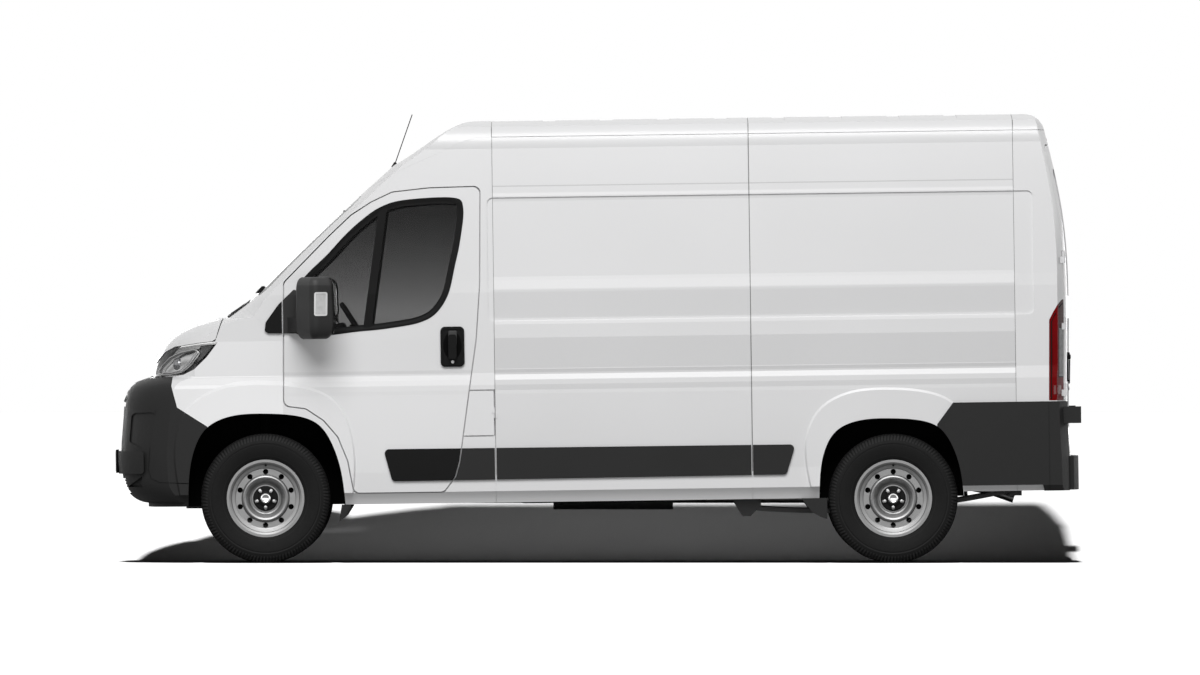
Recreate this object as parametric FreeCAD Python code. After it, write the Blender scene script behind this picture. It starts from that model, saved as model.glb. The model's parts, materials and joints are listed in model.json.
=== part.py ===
import FreeCAD, Part
import math
import os

# Panel van, high roof, medium wheelbase. Millimetres, nose towards -X, left side at -Y, +Z up.
# The origin is on the ground under the middle of the body. The body stands nose-down by its rake.

V = FreeCAD.Vector
origin = V(0, 0, 0)
upAxis = V(0, 0, 1)
sideAxis = V(0, 1, 0)

# Driving sizes of the whole van
halfLength = 2700
roofHeight = 2475
halfWidth = 1012
rakeAngle = 0.78
wallThick = 56
skinThick = 18
panelGap = 6.5
seamGap = 0.3
rebateGap = 6
rebateLap = 22
recessDepth = 8
grooveDepth = 4
grooveWidth = 5
trimProud = 12
cutOver = 400
farX = halfLength + cutOver
farY = halfWidth + cutOver
doorInner = 880
dustShare = 0.001
miterShare = 0.5
cornerReachShare = 0.45
sides = ("left", "right")

# Side outline of the nose and tail, shares of half length and roof height
noseShares = [(-0.930, 0.148), (-0.962, 0.162), (-0.978, 0.186), (-0.983, 0.215), (-0.985, 0.245),
              (-0.984, 0.290), (-0.979, 0.350), (-0.977, 0.377), (-0.966, 0.410), (-0.944, 0.424), (-0.921, 0.432)]
bonnetShares = [(-0.921, 0.432), (-0.910, 0.474), (-0.889, 0.508), (-0.857, 0.533), (-0.765, 0.563)]
cowlShares = [(-0.765, 0.563), (-0.738, 0.582), (-0.712, 0.602)]
screenShares = [(-0.712, 0.602), (-0.607, 0.713), (-0.523, 0.796), (-0.411, 0.903)]
browShares = [(-0.411, 0.903), (-0.336, 0.955), (-0.285, 0.987), (-0.200, 0.9985)]
crownShares = [(-0.200, 0.9985), (0.300, 1.000), (0.880, 0.9985)]
tailTopShares = [(0.880, 0.9985), (0.918, 0.990), (0.934, 0.971)]
tailShares = [(0.934, 0.971), (0.957, 0.864), (0.973, 0.762), (0.982, 0.577), (0.982, 0.226)]

# How far each stretch of the outline sweeps back towards the sides
noseSweep = 330
cowlSweep = 205
screenSweep = 110
browSweep = 100
tailTopSweep = 28
tailSweep = 95
stationShares = [0, 0.42, 0.70, 0.86, 0.95, 1.06]
sweepShares = [0, 0.05, 0.17, 0.40, 0.64, 1.10]

# Half cross-section, shares of half width and roof height, with a ledge after the flank and the middle
sillShares = [(0.950, 0.139), (0.962, 0.150), (0.990, 0.165)]
flankShares = [(0.990, 0.165), (0.999, 0.270), (1.000, 0.404)]
middleShares = [(0.989, 0.431), (0.992, 0.530), (0.991, 0.612)]
upperShares = [(0.985, 0.639), (0.966, 0.750), (0.944, 0.845), (0.915, 0.935)]
cornerShares = [(0.915, 0.935), (0.902, 0.965), (0.860, 0.985)]
archedShares = [(0.860, 0.985), (0.500, 0.9945), (0, 1.000)]
sectionShares = [sillShares, flankShares, middleShares, upperShares, cornerShares, archedShares]
ledgeIndexes = (1, 2)

# Wheels, in the level frame of the ground
tyreRadius = 360
tyreWidth = 215
rimHalf = 90
rimWall = 5
discInset = 34
discDepth = 12
hubBore = 31
hubRadius = 70
hubCapRadius = 70
hubCapDepth = 30
wheelHoles = 10
wheelHoleRadius = 15
wheelHoleCircle = 149
frontAxleX = -1850
rearAxleX = 1643
frontTrack = 1810
rearTrack = 1790
brakeRadius = 150
brakeThick = 24
brakeInset = 24
spindleFit = 0.5
beadShare = 0.575
tyreShares = [(0.575, 0.70), (0.605, 0.755), (0.64, 0.92), (0.78, 1.0), (0.90, 0.93), (0.97, 0.84), (0.995, 0.68), (1.0, 0)]
rimFaceShares = [(1.000, 0.84), (1.045, 0.92), (1.045, 1.00), (0.975, 1.00), (0.925, 0.93), (0.905, 0.74),
                 (0.830, 0.70), (0.800, 0.66), (0.650, 0.66), (0.610, 0.80), (0.575, 0.84), (0.530, 0.80),
                 (0.420, 0.56), (0.370, 0.51)]
rimBackShares = [(0.370, 0.378), (0.440, 0.40), (0.530, 0.66), (0.575, 0.71), (0.610, 0.66), (0.650, 0.53),
                 (0.850, 0.53)]
rimFlangeShare = 1.045
capShares = [(0, 0), (1, 0), (1, 0.40), (0.90, 0.58), (0.62, 0.62), (0.56, 0.90), (0.40, 1), (0, 1)]

# Wheel arches in the body frame
frontArchX = -1838
rearArchX = 1639
frontArchHalf = 438
rearArchHalf = 402
archFoot = 345
frontArchTop = 857
rearArchTop = 784
archShares = [(-1, 0), (-0.985, 0.30), (-0.92, 0.60), (-0.76, 0.845), (-0.45, 0.975), (0, 1),
              (0.33, 0.98), (0.66, 0.88), (0.85, 0.64), (0.95, 0.36), (1, 0)]
frontArch = (frontArchX, frontArchHalf, frontArchTop)
rearArch = (rearArchX, rearArchHalf, rearArchTop)
flareFoot = 195
flareShoulder = 158
flareLip = 12
flareSunk = 14
flareFall = 4
flareProud = 13
flareFade = 0.15
flareBottom = 410
linerThick = 5
linerGrow = 22
shaftHole = 60
shaftHoleTop = 445
strutHole = 42
axleHole = 70
axleHoleTop = 412
frontTubInner = 585
rearTubInner = 700

# Main stations along and up the body
sillZ = 345
tailFootX = 2042
tailFootZ = 371
floorZ = 545
floorThick = 22
cabFloorZ = 660
gutterZ = 2378
cabRearX = -561
sideSeamX = 866
bodyRearX = 2340
rearFrameX = 2470
bulkheadThick = 20
recessFront = -592
recessRear = 2446
recessBottom = 1353
recessTop = 2042
recessCorner = 34
ribCount = 8
ribPitch = 320
ribWidth = 70
ribHalf = 690

# Doors
doorFront = -1734
doorRear = -632
doorBottom = 410
doorTop = 2103
doorShares = [(0, 0.290), (0.008, 0.693), (0.088, 0.745), (0.240, 0.844), (0.351, 0.911), (0.453, 0.953),
              (0.560, 0.985), (0.745, 0.997), (1.000, 1.000), (0.992, 0.680), (0.971, 0.500), (0.925, 0.300),
              (0.880, 0.100), (0.858, 0.049), (0.800, 0.000), (0.349, 0.000), (0.320, 0.105), (0.271, 0.185),
              (0.200, 0.240), (0.110, 0.280)]
windowShares = [(0.078, 0.672), (0.239, 0.786), (0.324, 0.845), (0.409, 0.894), (0.501, 0.934), (0.619, 0.956),
                (0.862, 0.962), (0.911, 0.930), (0.893, 0.824), (0.865, 0.742), (0.830, 0.650), (0.770, 0.590),
                (0.690, 0.561), (0.569, 0.546), (0.402, 0.535), (0.072, 0.528)]
dividerShares = [(0.499, 0.97), (0.540, 0.97), (0.440, 0.52), (0.399, 0.52)]
windowCorner = 38
glassThick = 5
glassInset = 4
hingeProud = 3
doorHingeProud = 17

# Sliding door, on the right
slideFront = -552
slideBottom = 372
slideTop = 2090
slideCorner = 60
railZ = 1090
railHeight = 34
railStart = 740
handleFront = -860
handleRear = -727
handleBottom = 1103
handleTop = 1327
handleCorner = 26
gripInset = 44
gripProud = 34
slideHandleX = -530

# Strips along the sides, with the gaps at the seams
stripShares = [(-0.439, 0.2626), (-0.4215, 0.190), (0.391, 0.1935), (0.4104, 0.261)]
stripCorner = 24
guardFrontShares = [(-0.5265, 0.1392), (-0.509, 0.1392), (-0.507, 0.133), (-0.5195, 0.112), (-0.532, 0.101)]
guardRearShares = [(0.421, 0.1392), (0.474, 0.1392), (0.474, 0.092), (0.458, 0.098), (0.443, 0.108)]
guardInner = 900
guardOuter = 985

# Rear doors
rearDoorHalf = 862
rearDoorBottom = 575
rearDoorTop = 2290
rearDoorCorner = 70
rearGap = 8
rearHingeSweep = 0.42
rearHingeZs = [930, 1300, 1670]
rearPanelZs = [(720, 1330), (1450, 2160)]
rearPanelInset = 120
hingeRadius = 9
hingeHeight = 70
hingePin = 4
hingeRoom = 1.5
hingeArm = 62
hingeReach = 90
pinShort = 2
bonnetHingeY = 640
bonnetHingeRadius = 5
bonnetHingePin = 2.2
bonnetHingeHeight = 60
bonnetHingeArm = 26

# Bonnet and headlamps
bonnetRearX = -2066
bonnetRearZ = 1388
lampHalfInner = 470
lampShares = [(-0.925, 0.429), (-0.908, 0.459), (-0.886, 0.486), (-0.866, 0.497), (-0.821, 0.504),
              (-0.776, 0.510), (-0.801, 0.475), (-0.827, 0.448), (-0.850, 0.436), (-0.871, 0.432)]
tailLampShares = [(0.934, 0.352), (0.9365, 0.533), (0.945, 0.551), (0.954, 0.567), (0.963, 0.578), (1.02, 0.600),
                  (1.02, 0.352)]
tailLampInner = 18
wingShares = [(-0.801, 0.30), (-0.880, 0.363), (-0.890, 0.440), (-0.850, 0.460),
              (-0.801, 0.490), (-0.782, 0.512), (-0.7655, 0.5620), (-0.724, 0.5870),
              (-0.681, 0.546), (-0.6445, 0.527), (-0.6445, 0.30)]
wingHalfInner = 690
bonnetEdgeShares = [(-1.05, 0.4345), (-0.905, 0.4345), (-0.780, 0.5135), (-0.7665, 0.5600), (-0.7665, 0.62),
                    (-1.05, 0.62)]
roofEdgeShares = [(-0.478, 0.842), (-0.399, 0.889), (-0.322, 0.925), (-0.274, 0.950), (-0.240, 0.961),
                  (1.05, 0.961), (1.05, 1.10), (-0.478, 1.10)]
screenOpenShares = [(-0.86, 0.613), (0.86, 0.613), (0.775, 0.832), (-0.775, 0.832)]
screenCorner = 60
screenBack = -1180

# Fuel flap on the left
flapFront = -752
flapRear = -568
flapBottom = 720
flapTop = 968
flapThick = 10
flapHingeRadius = 2.6
flapHingePin = 1.2
flapHingeHeight = 60
flapHingeArm = 16

# Bumpers
bumperShares = [(-1.05, 0.10), (-0.80, 0.10), (-0.801, 0.3185), (-0.863, 0.3625), (-0.8745, 0.411),
                (-0.8715, 0.4335), (-1.05, 0.4335)]
noseBack = -2430
rubShares = [(-1.05, 0.2145), (-0.934, 0.2145), (-0.934, 0.2655), (-1.05, 0.2655)]
rubCorner = 18
pocketShares = [(-0.959, 0.345), (-0.953, 0.351), (-0.909, 0.353), (-0.921, 0.2715), (-0.939, 0.272),
                (-0.964, 0.286)]
mouthShares = [(-0.969, 0.185), (-0.938, 0.209), (-0.938, 0.184)]
panelLineShares = [(-0.907, 0.356), (-0.918, 0.290), (-0.923, 0.222), (-0.918, 0.204), (-0.901, 0.195),
                   (-0.835, 0.192)]
cornerHalfInner = 560
grilleHalf = 400
grilleBottom = 905
grilleTop = 1035
intakeHalf = 480
intakeBottom = 420
intakeTop = 505
slatCount = 5
slatEnd = 14
slatDepth = 30
slatGapShare = 0.5
rearBumperShares = [(0.703, 0.302), (0.736, 0.350), (1.05, 0.350), (1.05, 0.149), (0.9225, 0.149),
                    (0.9195, 0.163), (0.72, 0.163), (0.703, 0.200)]
rearBumperTop = 866
rearBumperProud = 22
bumperSplitX = 2520
bumperHalfInner = 876
bufferInner = 886
bufferOuter = 976
bufferBottom = 743
bufferTop = 836
bufferFront = 2600
bufferRear = 2700
stepBottom = 372
stepTop = 560
stepProud = 44

# Mirrors
sailShares = [(-0.6807, 0.532), (-0.6733, 0.5265), (-0.6011, 0.5253), (-0.6152, 0.629), (-0.6519, 0.5907),
              (-0.6781, 0.5515)]
sailCorner = 12
mirrorX = -1556
mirrorY = 1192
mirrorZ = 1268
mirrorDepth = 150
mirrorWidth = 225
mirrorHeight = 345
mirrorYaw = -30
mirrorShares = [(0, 0.60), (0.05, 0.84), (0.18, 0.98), (0.5, 1), (0.84, 0.96), (0.96, 0.84), (1, 0.66)]
mirrorCorner = 44
mirrorArmFront = -1712
mirrorArmRear = -1640
mirrorArmShift = 70
mirrorArmTop = 84
mirrorArmReach = 1135

# Wipers and aerial
wiperShares = [(-0.60, 0.618), (-0.055, 0.626), (-0.055, 0.634), (-0.60, 0.632)]
wiperShift = 0.66
aerialX = -1109
aerialZ = 2236
aerialRadius = 2.6
aerialLength = 300
aerialLean = 20
aerialFoot = 15
aerialFootHeight = 16

# Running gear
steerAxisY = 758
strutRadius = 26
strutTop = 940
strutFoot = 440
knuckleReach = 46
steerArm = 140
ballRadius = 34
ballRoom = 3
shaftRadius = 13
rackRadius = 22
rackHalf = 420
tieRadius = 9
eyeRadius = 20
eyeThick = 16
eyeDrop = 6
armZ = 284
uprightHalf = 120
axleRadius = 45
springY = 560
springWidth = 70
springThick = 24
springFront = 838
springRear = 2330
springFrontZ = 318
springRearZ = 420
eyeTube = 24
eyeBore = 9
cheekThick = 7
bracketShares = [(-1.14, 5), (-1.14, 0.43), (-0.44, -0.67), (0.20, -0.67), (1.01, 0.19), (1.01, 5)]
shackleHalf = 34
damperY = 650
damperRadius = 24
damperRod = 9
damperFoot = 300
damperMiddle = 440
railHalfIn = 430
railHalfOut = 500
railBottom = 430
railFront = -2480

# Engine, the cradle that carries it, exhaust and tank
engineFront = -2300
engineRear = -1720
engineHalf = 340
engineTop = 1090
cradleFront = -2150
cradleBar = 80
cradleRear = -1560
cradleHalfIn = 380
cradleHalfOut = 470
cradleBottom = 250
cradleTop = 300
armThick = 22
armDrop = 34
pipeRadius = 24
pipeY = 200
pipeRun = [(engineRear + seamGap, 352), (1380, 352), (1480, 470), (1810, 470), (2190, 400), (2330, 352)]
silencerFront = -250
silencerRear = 420
silencerRadius = 84
tankFront = -450
tankRear = 640
tankInner = 60
tankBottom = 335
tankCorner = 46

# Cab
dashShares = [(0, 0), (0, 0.78), (0.25, 1), (0.62, 0.96), (0.92, 0.78), (1, 0.45), (0.80, 0.12), (0.50, 0)]
dashFront = -1584
dashRear = -1400
dashBottom = 960
dashTop = 1330
toeX = -1560
toeZ = 792
heelX = -1390
fireX = -1640
fireTop = 1330
cabPlate = 18
seatFront = -1260
seatWidth = 460
seatDepth = 450
seatZ = 930
seatThick = 130
backHeight = 610
backThick = 110
backLean = 10
seatYs = [-430, 90, 560]
baseInset = 60
wheelRim = 200
wheelTube = 15
wheelBossRadius = 68
wheelBossDepth = 30
spokeWidth = 36
columnX = -1310
columnZ = 1300
columnTilt = 32
columnRadius = 24
columnLength = 90
driverY = -430


def share(pair):
    return V(pair[0] * halfLength, 0, pair[1] * roofHeight)


def sharePoints(shares):
    return [share(pair) for pair in shares]


def boxPoints(shares, x0, x1, z0, z1):
    return [V(x0 + (x1 - x0) * a, 0, z0 + (z1 - z0) * b) for a, b in shares]


def prism(outline, fromY, toY):
    wire = Part.makePolygon([V(p.x, fromY, p.z) for p in outline] + [V(outline[0].x, fromY, outline[0].z)])
    return Part.Face(wire).extrude(V(0, toY - fromY, 0))


def growEach(outline, sizes):
    # Offsets each corner of a closed outline outwards by its own size
    total = len(outline)
    turn = sum(outline[i].x * outline[(i + 1) % total].z - outline[(i + 1) % total].x * outline[i].z
               for i in range(total))
    sign = 1 if turn > 0 else -1
    result = []
    for i in range(total):
        before, here, after = outline[i - 1], outline[i], outline[(i + 1) % total]
        first = (here - before).normalize()
        second = (after - here).normalize()
        normal = V(first.z, 0, -first.x) * sign
        nextNormal = V(second.z, 0, -second.x) * sign
        middle = (normal + nextNormal).normalize()
        result.append(here + middle * (sizes[i] / max(middle.dot(normal), miterShare)))
    return result


def grow(outline, size):
    return growEach(outline, [size] * len(outline))


def rounded(outline, radius):
    # Closed outline with its corners turned into arcs
    total = len(outline)
    ends = []
    for i in range(total):
        before, here, after = outline[i - 1], outline[i], outline[(i + 1) % total]
        first = before - here
        second = after - here
        half = first.getAngle(second) / 2
        reach = min(radius / math.tan(half), first.Length * cornerReachShare, second.Length * cornerReachShare)
        size = reach * math.tan(half)
        first.normalize()
        second.normalize()
        middle = (first + second).normalize()
        crest = here + middle * (size / math.sin(half) - size)
        ends.append((here + first * reach, crest, here + second * reach))
    edges = []
    for i in range(total):
        enter, crest, leave = ends[i]
        edges.append(Part.Arc(enter, crest, leave).toShape())
        edges.append(Part.makeLine(leave, ends[(i + 1) % total][0]))
    return Part.Wire(edges)


def roundPrism(outline, radius, fromY, toY):
    moved = [V(p.x, fromY, p.z) for p in outline]
    return Part.Face(rounded(moved, radius)).extrude(V(0, toY - fromY, 0))


def block(x0, x1, y0, y1, z0, z1):
    return Part.makeBox(x1 - x0, y1 - y0, z1 - z0, V(x0, y0, z0))


def corners(x0, x1, z0, z1):
    return [V(x0, 0, z0), V(x1, 0, z0), V(x1, 0, z1), V(x0, 0, z1)]


def mirrored(shape):
    return shape.mirror(origin, sideAxis)


def forSide(shape, side):
    # Shapes are made for the right side and mirrored for the left
    return mirrored(shape) if side == "left" else shape


def sideSpan(side, inner=0):
    # Range in y of one side of the van, left being negative
    return (-farY, -inner) if side == "left" else (inner, farY)


def cutAll(shape, tools):
    return shape.cut(Part.makeCompound(tools)) if len(tools) > 1 else shape.cut(tools[0])


def spline(line):
    if len(line) == 2:
        return Part.makeLine(line[0], line[1])
    curve = Part.BSplineCurve()
    curve.interpolate(line)
    return curve.toShape()


def shifted(line, inset):
    # Moves an open stretch of the side outline by inset along its normals
    moved = []
    last = len(line) - 1
    for i, here in enumerate(line):
        tangent = (line[min(i + 1, last)] - line[max(i - 1, 0)]).normalize()
        moved.append(here + V(tangent.z, 0, -tangent.x) * inset)
    return moved


def profileAt(y, sweep, inset):
    # Side outline at one distance from the middle, as closed wire
    stretches = [(noseShares, noseSweep, noseSweep), (bonnetShares, noseSweep, cowlSweep),
                 (cowlShares, cowlSweep, screenSweep), (screenShares, screenSweep, browSweep),
                 (browShares, browSweep, 0), (crownShares, 0, 0), (tailTopShares, -tailTopSweep, -tailSweep),
                 (tailShares, -tailSweep, -tailSweep)]
    whole = []
    for shares, sweepStart, sweepEnd in stretches:
        last = len(shares) - 1
        for i, pair in enumerate(shares):
            if whole and i == 0:
                continue
            along = i / last
            push = (sweepStart * (1 - along) + sweepEnd * along) * sweep
            whole.append(share(pair) + V(push, y, 0))
    whole = shifted(whole, inset)
    edges = []
    index = 0
    for shares, sweepStart, sweepEnd in stretches:
        end = index + len(shares) - 1
        edges.append(spline(whole[index:end + 1]))
        index = end
    lowest = sillZ - (cutOver if inset > 0 else 0)
    foot = V(whole[-1].x, y, lowest)
    heel = V(whole[0].x, y, lowest)
    edges.append(Part.makeLine(whole[-1], foot))
    edges.append(Part.makeLine(foot, heel))
    edges.append(Part.makeLine(heel, whole[0]))
    return Part.Wire(edges)


def sideForm(inset):
    stations = list(zip(stationShares, sweepShares))
    places = [(-portion * halfWidth, sweep) for portion, sweep in reversed(stations)]
    places += [(portion * halfWidth, sweep) for portion, sweep in stations[1:]]
    return Part.makeLoft([profileAt(y, sweep, inset) for y, sweep in places], True, False)


def sectionForm(inset):
    moved = []
    for shares in sectionShares:
        stretch = [V(-farX, a * halfWidth, b * roofHeight) for a, b in shares]
        last = len(stretch) - 1
        line = []
        for i, here in enumerate(stretch):
            tangent = (stretch[min(i + 1, last)] - stretch[max(i - 1, 0)]).normalize()
            line.append(here + V(0, -tangent.z, tangent.y) * inset)
        moved.append(line)
    moved[-1][-1].y = 0
    moved[0][0].z = sillZ - (cutOver if inset > 0 else 0)
    edges = []
    for i, stretch in enumerate(moved):
        if i and i - 1 in ledgeIndexes:
            edges.append(Part.makeLine(moved[i - 1][-1], stretch[0]))
        elif i:
            joint = (moved[i - 1][-1] + stretch[0]) * (1 / 2)
            stretch[0] = joint
        if i + 1 < len(moved) and i not in ledgeIndexes:
            stretch[-1] = (stretch[-1] + moved[i + 1][0]) * (1 / 2)
            moved[i + 1][0] = V(stretch[-1])
        edges.append(spline(stretch))
    leftEdges = [mirrored(edge) for edge in reversed(edges)]
    right = moved[0][0]
    left = V(right.x, -right.y, right.z)
    wire = Part.Wire(Part.__sortEdges__(edges + leftEdges + [Part.makeLine(left, right)]))
    return Part.Face(wire).extrude(V(farX - moved[0][0].x, 0, 0))


class Forms:
    # Body forms at each depth below the skin, made once and kept
    made = {}

    @staticmethod
    def at(inset):
        if inset not in Forms.made:
            Forms.made[inset] = sideForm(inset).common(sectionForm(inset))
        return Forms.made[inset]


def band(outerInset, innerInset, region):
    # The slice of the body's wall between two depths that lies inside a region
    return Forms.at(outerInset).common(region).cut(Forms.at(innerInset))


def wall(region):
    return band(0, wallThick, region)


def inside(region):
    return Forms.at(wallThick + seamGap).common(region)


def hingeHalves(place, along, size, pin, height, arms):
    # Two halves of a hinge on one axis, the first with the pin, each with an arm from a box in arms
    low = place - along * (height / 2)
    split = height / 2
    fixedBarrel = Part.makeCylinder(size, split, low, along)
    core = Part.makeCylinder(pin, height - pinShort, low, along)
    movingBarrel = Part.makeCylinder(size, split - seamGap, low + along * (split + seamGap), along)
    bore = Part.makeCylinder(pin + seamGap, height, low, along)
    fixed = fixedBarrel.fuse(core).fuse(arms[0].cut(Forms.at(0)))
    moving = movingBarrel.fuse(arms[1].cut(Forms.at(0))).cut(bore)
    fixedRoom = Part.makeCylinder(size + hingeRoom, split + hingeRoom, low - along * hingeRoom, along).fuse(bore)
    movingRoom = Part.makeCylinder(size + hingeRoom, split + hingeRoom, low + along * split, along)
    return fixed, moving, fixedRoom, movingRoom


def archPoints(middle, half, top):
    return [V(middle + half * a, 0, archFoot + (top - archFoot) * b) for a, b in archShares]


def archHole(arch, size, side, inner):
    # Wheel opening as a smooth prism with its foot carried down past the sill
    line = grow(archPoints(*arch), size)
    first = V(line[0].x, 0, archFoot - cutOver)
    last = V(line[-1].x, 0, archFoot - cutOver)
    wire = Part.Wire([spline(line), Part.makeLine(line[-1], last), Part.makeLine(last, first),
                      Part.makeLine(first, line[0])])
    low, high = sideSpan(side, inner)
    wire.translate(V(0, low, 0))
    return Part.Face(wire).extrude(V(0, high - low, 0))


def flare(arch, side):
    # Bulge over a wheel opening, lofted through outlines that close in on it as they stand out
    steps = [(flareFoot, halfWidth - flareSunk), (flareShoulder, halfWidth + flareProud - flareFall),
             (flareLip, halfWidth + flareProud)]
    wires = []
    for size, y in steps:
        sizes = [size * (flareFade + (1 - flareFade) * b) for a, b in archShares]
        line = [V(p.x, y, p.z) for p in growEach(archPoints(*arch), sizes)]
        first = V(line[0].x, y, archFoot - cutOver)
        last = V(line[-1].x, y, archFoot - cutOver)
        wires.append(Part.Wire([spline(line), Part.makeLine(line[-1], last), Part.makeLine(last, first),
                                Part.makeLine(first, line[0])]))
    solid = Part.makeLoft(wires, True, True).common(block(-farX, farX, 0, farY, flareBottom, roofHeight))
    solid = solid.cut(archHole(arch, 0, "right", 0)).cut(Forms.at(0))
    return forSide(solid, side)


def doorOutline():
    return boxPoints(doorShares, doorFront, doorRear, doorBottom, doorTop)


def windowOutline():
    return boxPoints(windowShares, doorFront, doorRear, doorBottom, doorTop)


def doorPrism(size, side):
    low, high = sideSpan(side, doorInner)
    return roundPrism(grow(doorOutline(), size), windowCorner, low, high)


def slideOutline():
    return corners(slideFront, sideSeamX, slideBottom, slideTop)


def leaf(outline, radius, side):
    # A door as thick as the wall, its inner part smaller by the rebate
    low, high = sideSpan(side, doorInner)
    outer = roundPrism(outline, radius, low, high)
    inner = roundPrism(grow(outline, -rebateLap - panelGap), radius, low, high)
    return band(0, skinThick, outer).fuse(band(skinThick, wallThick, inner))


def leafHole(outline, radius, side):
    low, high = sideSpan(side, doorInner - panelGap)
    outer = roundPrism(grow(outline, panelGap), radius, low, high)
    inner = roundPrism(grow(outline, -rebateLap), radius, low, high)
    return outer.cut(Forms.at(skinThick + rebateGap)).fuse(inner)


def sideRecess(side):
    # Shallow pressed field along the load space
    low, high = sideSpan(side, doorInner)
    field = roundPrism(corners(recessFront, recessRear, recessBottom, recessTop), recessCorner, low, high)
    return field.cut(Forms.at(recessDepth))


def seamGrooves():
    # Narrow channels where the outer panels meet, made once
    if "grooves" in Forms.made:
        return Forms.made["grooves"]
    half = grooveWidth / 2
    lanes = [block(x - half, x + half, -farY, farY, sillZ, roofHeight + cutOver) for x in (cabRearX, bodyRearX)]
    lanes.append(block(sideSeamX - half, sideSeamX + half, -farY, 0, sillZ, roofHeight + cutOver))
    lanes.append(block(sideSeamX - half, sideSeamX + half, 0, farY, gutterZ, roofHeight + cutOver))
    lanes.append(block(cabRearX, farX, -farY, farY, gutterZ - half, gutterZ + half))
    Forms.made["grooves"] = Part.makeCompound(lanes).cut(Forms.at(grooveDepth))
    return Forms.made["grooves"]


def turned(shape):
    # Turns a shape drawn across the van so that it faces along it
    return shape.rotate(origin, upAxis, 90)


def tailPrism(y0, y1, z0, z1, radius):
    return turned(roundPrism(corners(y0, y1, z0, z1), radius, -farX, -rearFrameX + wallThick))


def rearLeafSpan(side, lap):
    # Range in y of a rear door, left being negative, closed in by lap
    y0 = rearGap / 2 + lap
    y1 = rearDoorHalf - lap
    return (-y1, -y0) if side == "left" else (y0, y1)


def rearLeaf(side):
    y0, y1 = rearLeafSpan(side, 0)
    outer = tailPrism(y0, y1, rearDoorBottom, rearDoorTop, rearDoorCorner)
    lap = rebateLap + panelGap
    y0, y1 = rearLeafSpan(side, lap)
    inner = tailPrism(y0, y1, rearDoorBottom + lap, rearDoorTop - lap, rearDoorCorner)
    solid = band(0, skinThick, outer).fuse(band(skinThick, wallThick, inner))
    y0, y1 = rearLeafSpan(side, rearPanelInset)
    fields = [tailPrism(y0, y1, z0, z1, rearDoorCorner) for z0, z1 in rearPanelZs]
    solid = solid.cut(Part.makeCompound(fields).cut(Forms.at(recessDepth)))
    for fixed, moving, fixedRoom, movingRoom in rearHinges(side):
        solid = solid.cut(fixedRoom).fuse(moving)
    return solid


def rearHingeX():
    return tailShares[-1][0] * halfLength - tailSweep * rearHingeSweep + hingeProud


def rearHinges(side):
    # Fixed halves, moving halves and the room that each needs in the other piece
    sign = -1 if side == "left" else 1
    y = sign * (rearDoorHalf + panelGap / 2)
    x = rearHingeX()
    halves = []
    for z in rearHingeZs:
        arms = []
        for turn, low, high in ((1, -hingeHeight / 2, 0), (-1, seamGap, hingeHeight / 2)):
            y0, y1 = sorted((y, y + sign * turn * hingeArm))
            arms.append(block(x - hingeReach, x + hingePin, y0, y1, z + low, z + high))
        halves.append(hingeHalves(V(x, y, z), upAxis, hingeRadius, hingePin, hingeHeight, arms))
    return halves


def rearHole():
    reach = rearDoorHalf + panelGap
    outer = tailPrism(-reach, reach, rearDoorBottom - panelGap, rearDoorTop + panelGap, rearDoorCorner)
    reach = rearDoorHalf - rebateLap
    inner = tailPrism(-reach, reach, rearDoorBottom + rebateLap, rearDoorTop - rebateLap, rearDoorCorner)
    return outer.cut(Forms.at(skinThick + rebateGap)).fuse(inner)


def lampPrism(size, side):
    low, high = sideSpan(side, lampHalfInner - size)
    return prism(grow(sharePoints(lampShares), size), low, high)


def tailLampPrism(size, side):
    low, high = sideSpan(side, rearDoorHalf + tailLampInner - size)
    return prism(grow(sharePoints(tailLampShares), size), low, high)


def screenPrism(size):
    outline = [V(a * halfWidth, 0, b * roofHeight) for a, b in screenOpenShares]
    return turned(roundPrism(grow(outline, size), screenCorner, -screenBack, farX))


def roofRegion(size):
    return prism(grow(sharePoints(roofEdgeShares), size), -farY, farY)


def wingRegion(size, side):
    low, high = sideSpan(side, wingHalfInner - size)
    return prism(grow(sharePoints(wingShares), size), low, high)


def bumperRegion(size):
    return prism(grow(sharePoints(bumperShares), size), -farY, farY)


def bonnetRegion(size):
    return prism(grow(sharePoints(bonnetEdgeShares), size), -farY, farY)


def rearBumperRegion(size):
    return prism(grow(sharePoints(rearBumperShares), size), -farY, farY)


def bumperHole():
    # Room that the rear bumper takes at the two corners, and nothing below the tail's foot
    middle = block(bodyRearX, farX, -bumperHalfInner, bumperHalfInner, 0, roofHeight)
    foot = block(tailFootX, farX, -farY, farY, 0, tailFootZ)
    return rearBumperRegion(seamGap).cut(middle).fuse(foot)


def frontDoor(side):
    low, high = sideSpan(side, doorInner)
    panel = leaf(doorOutline(), windowCorner, side).cut(roundPrism(windowOutline(), windowCorner, low, high))
    return panel.fuse(flare(frontArch, side).common(doorPrism(0, side)))


def frontGlass(side):
    low, high = sideSpan(side, doorInner)
    hole = roundPrism(grow(windowOutline(), -seamGap), windowCorner, low, high)
    bar = prism(grow(dividerOutline(), seamGap), low, high)
    return band(glassInset, glassInset + glassThick, hole.cut(bar))


def dividerOutline():
    return boxPoints(dividerShares, doorFront, doorRear, doorBottom, doorTop)


def handlePlate(side, start, room):
    # Plate with an upright grip, set on the skin
    low, high = sideSpan(side, doorInner)
    width = handleRear - handleFront
    plate = roundPrism(corners(start, start + width, handleBottom, handleTop), handleCorner, low, high)
    plate = band(-trimProud, -seamGap, plate)
    grip = corners(start + gripInset, start + width - gripInset, handleBottom + gripInset, handleTop - gripInset)
    bar = roundPrism(grip, handleCorner / 2, halfWidth, halfWidth + gripProud)
    return plate.fuse(forSide(bar, side)).cut(room)


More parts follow.
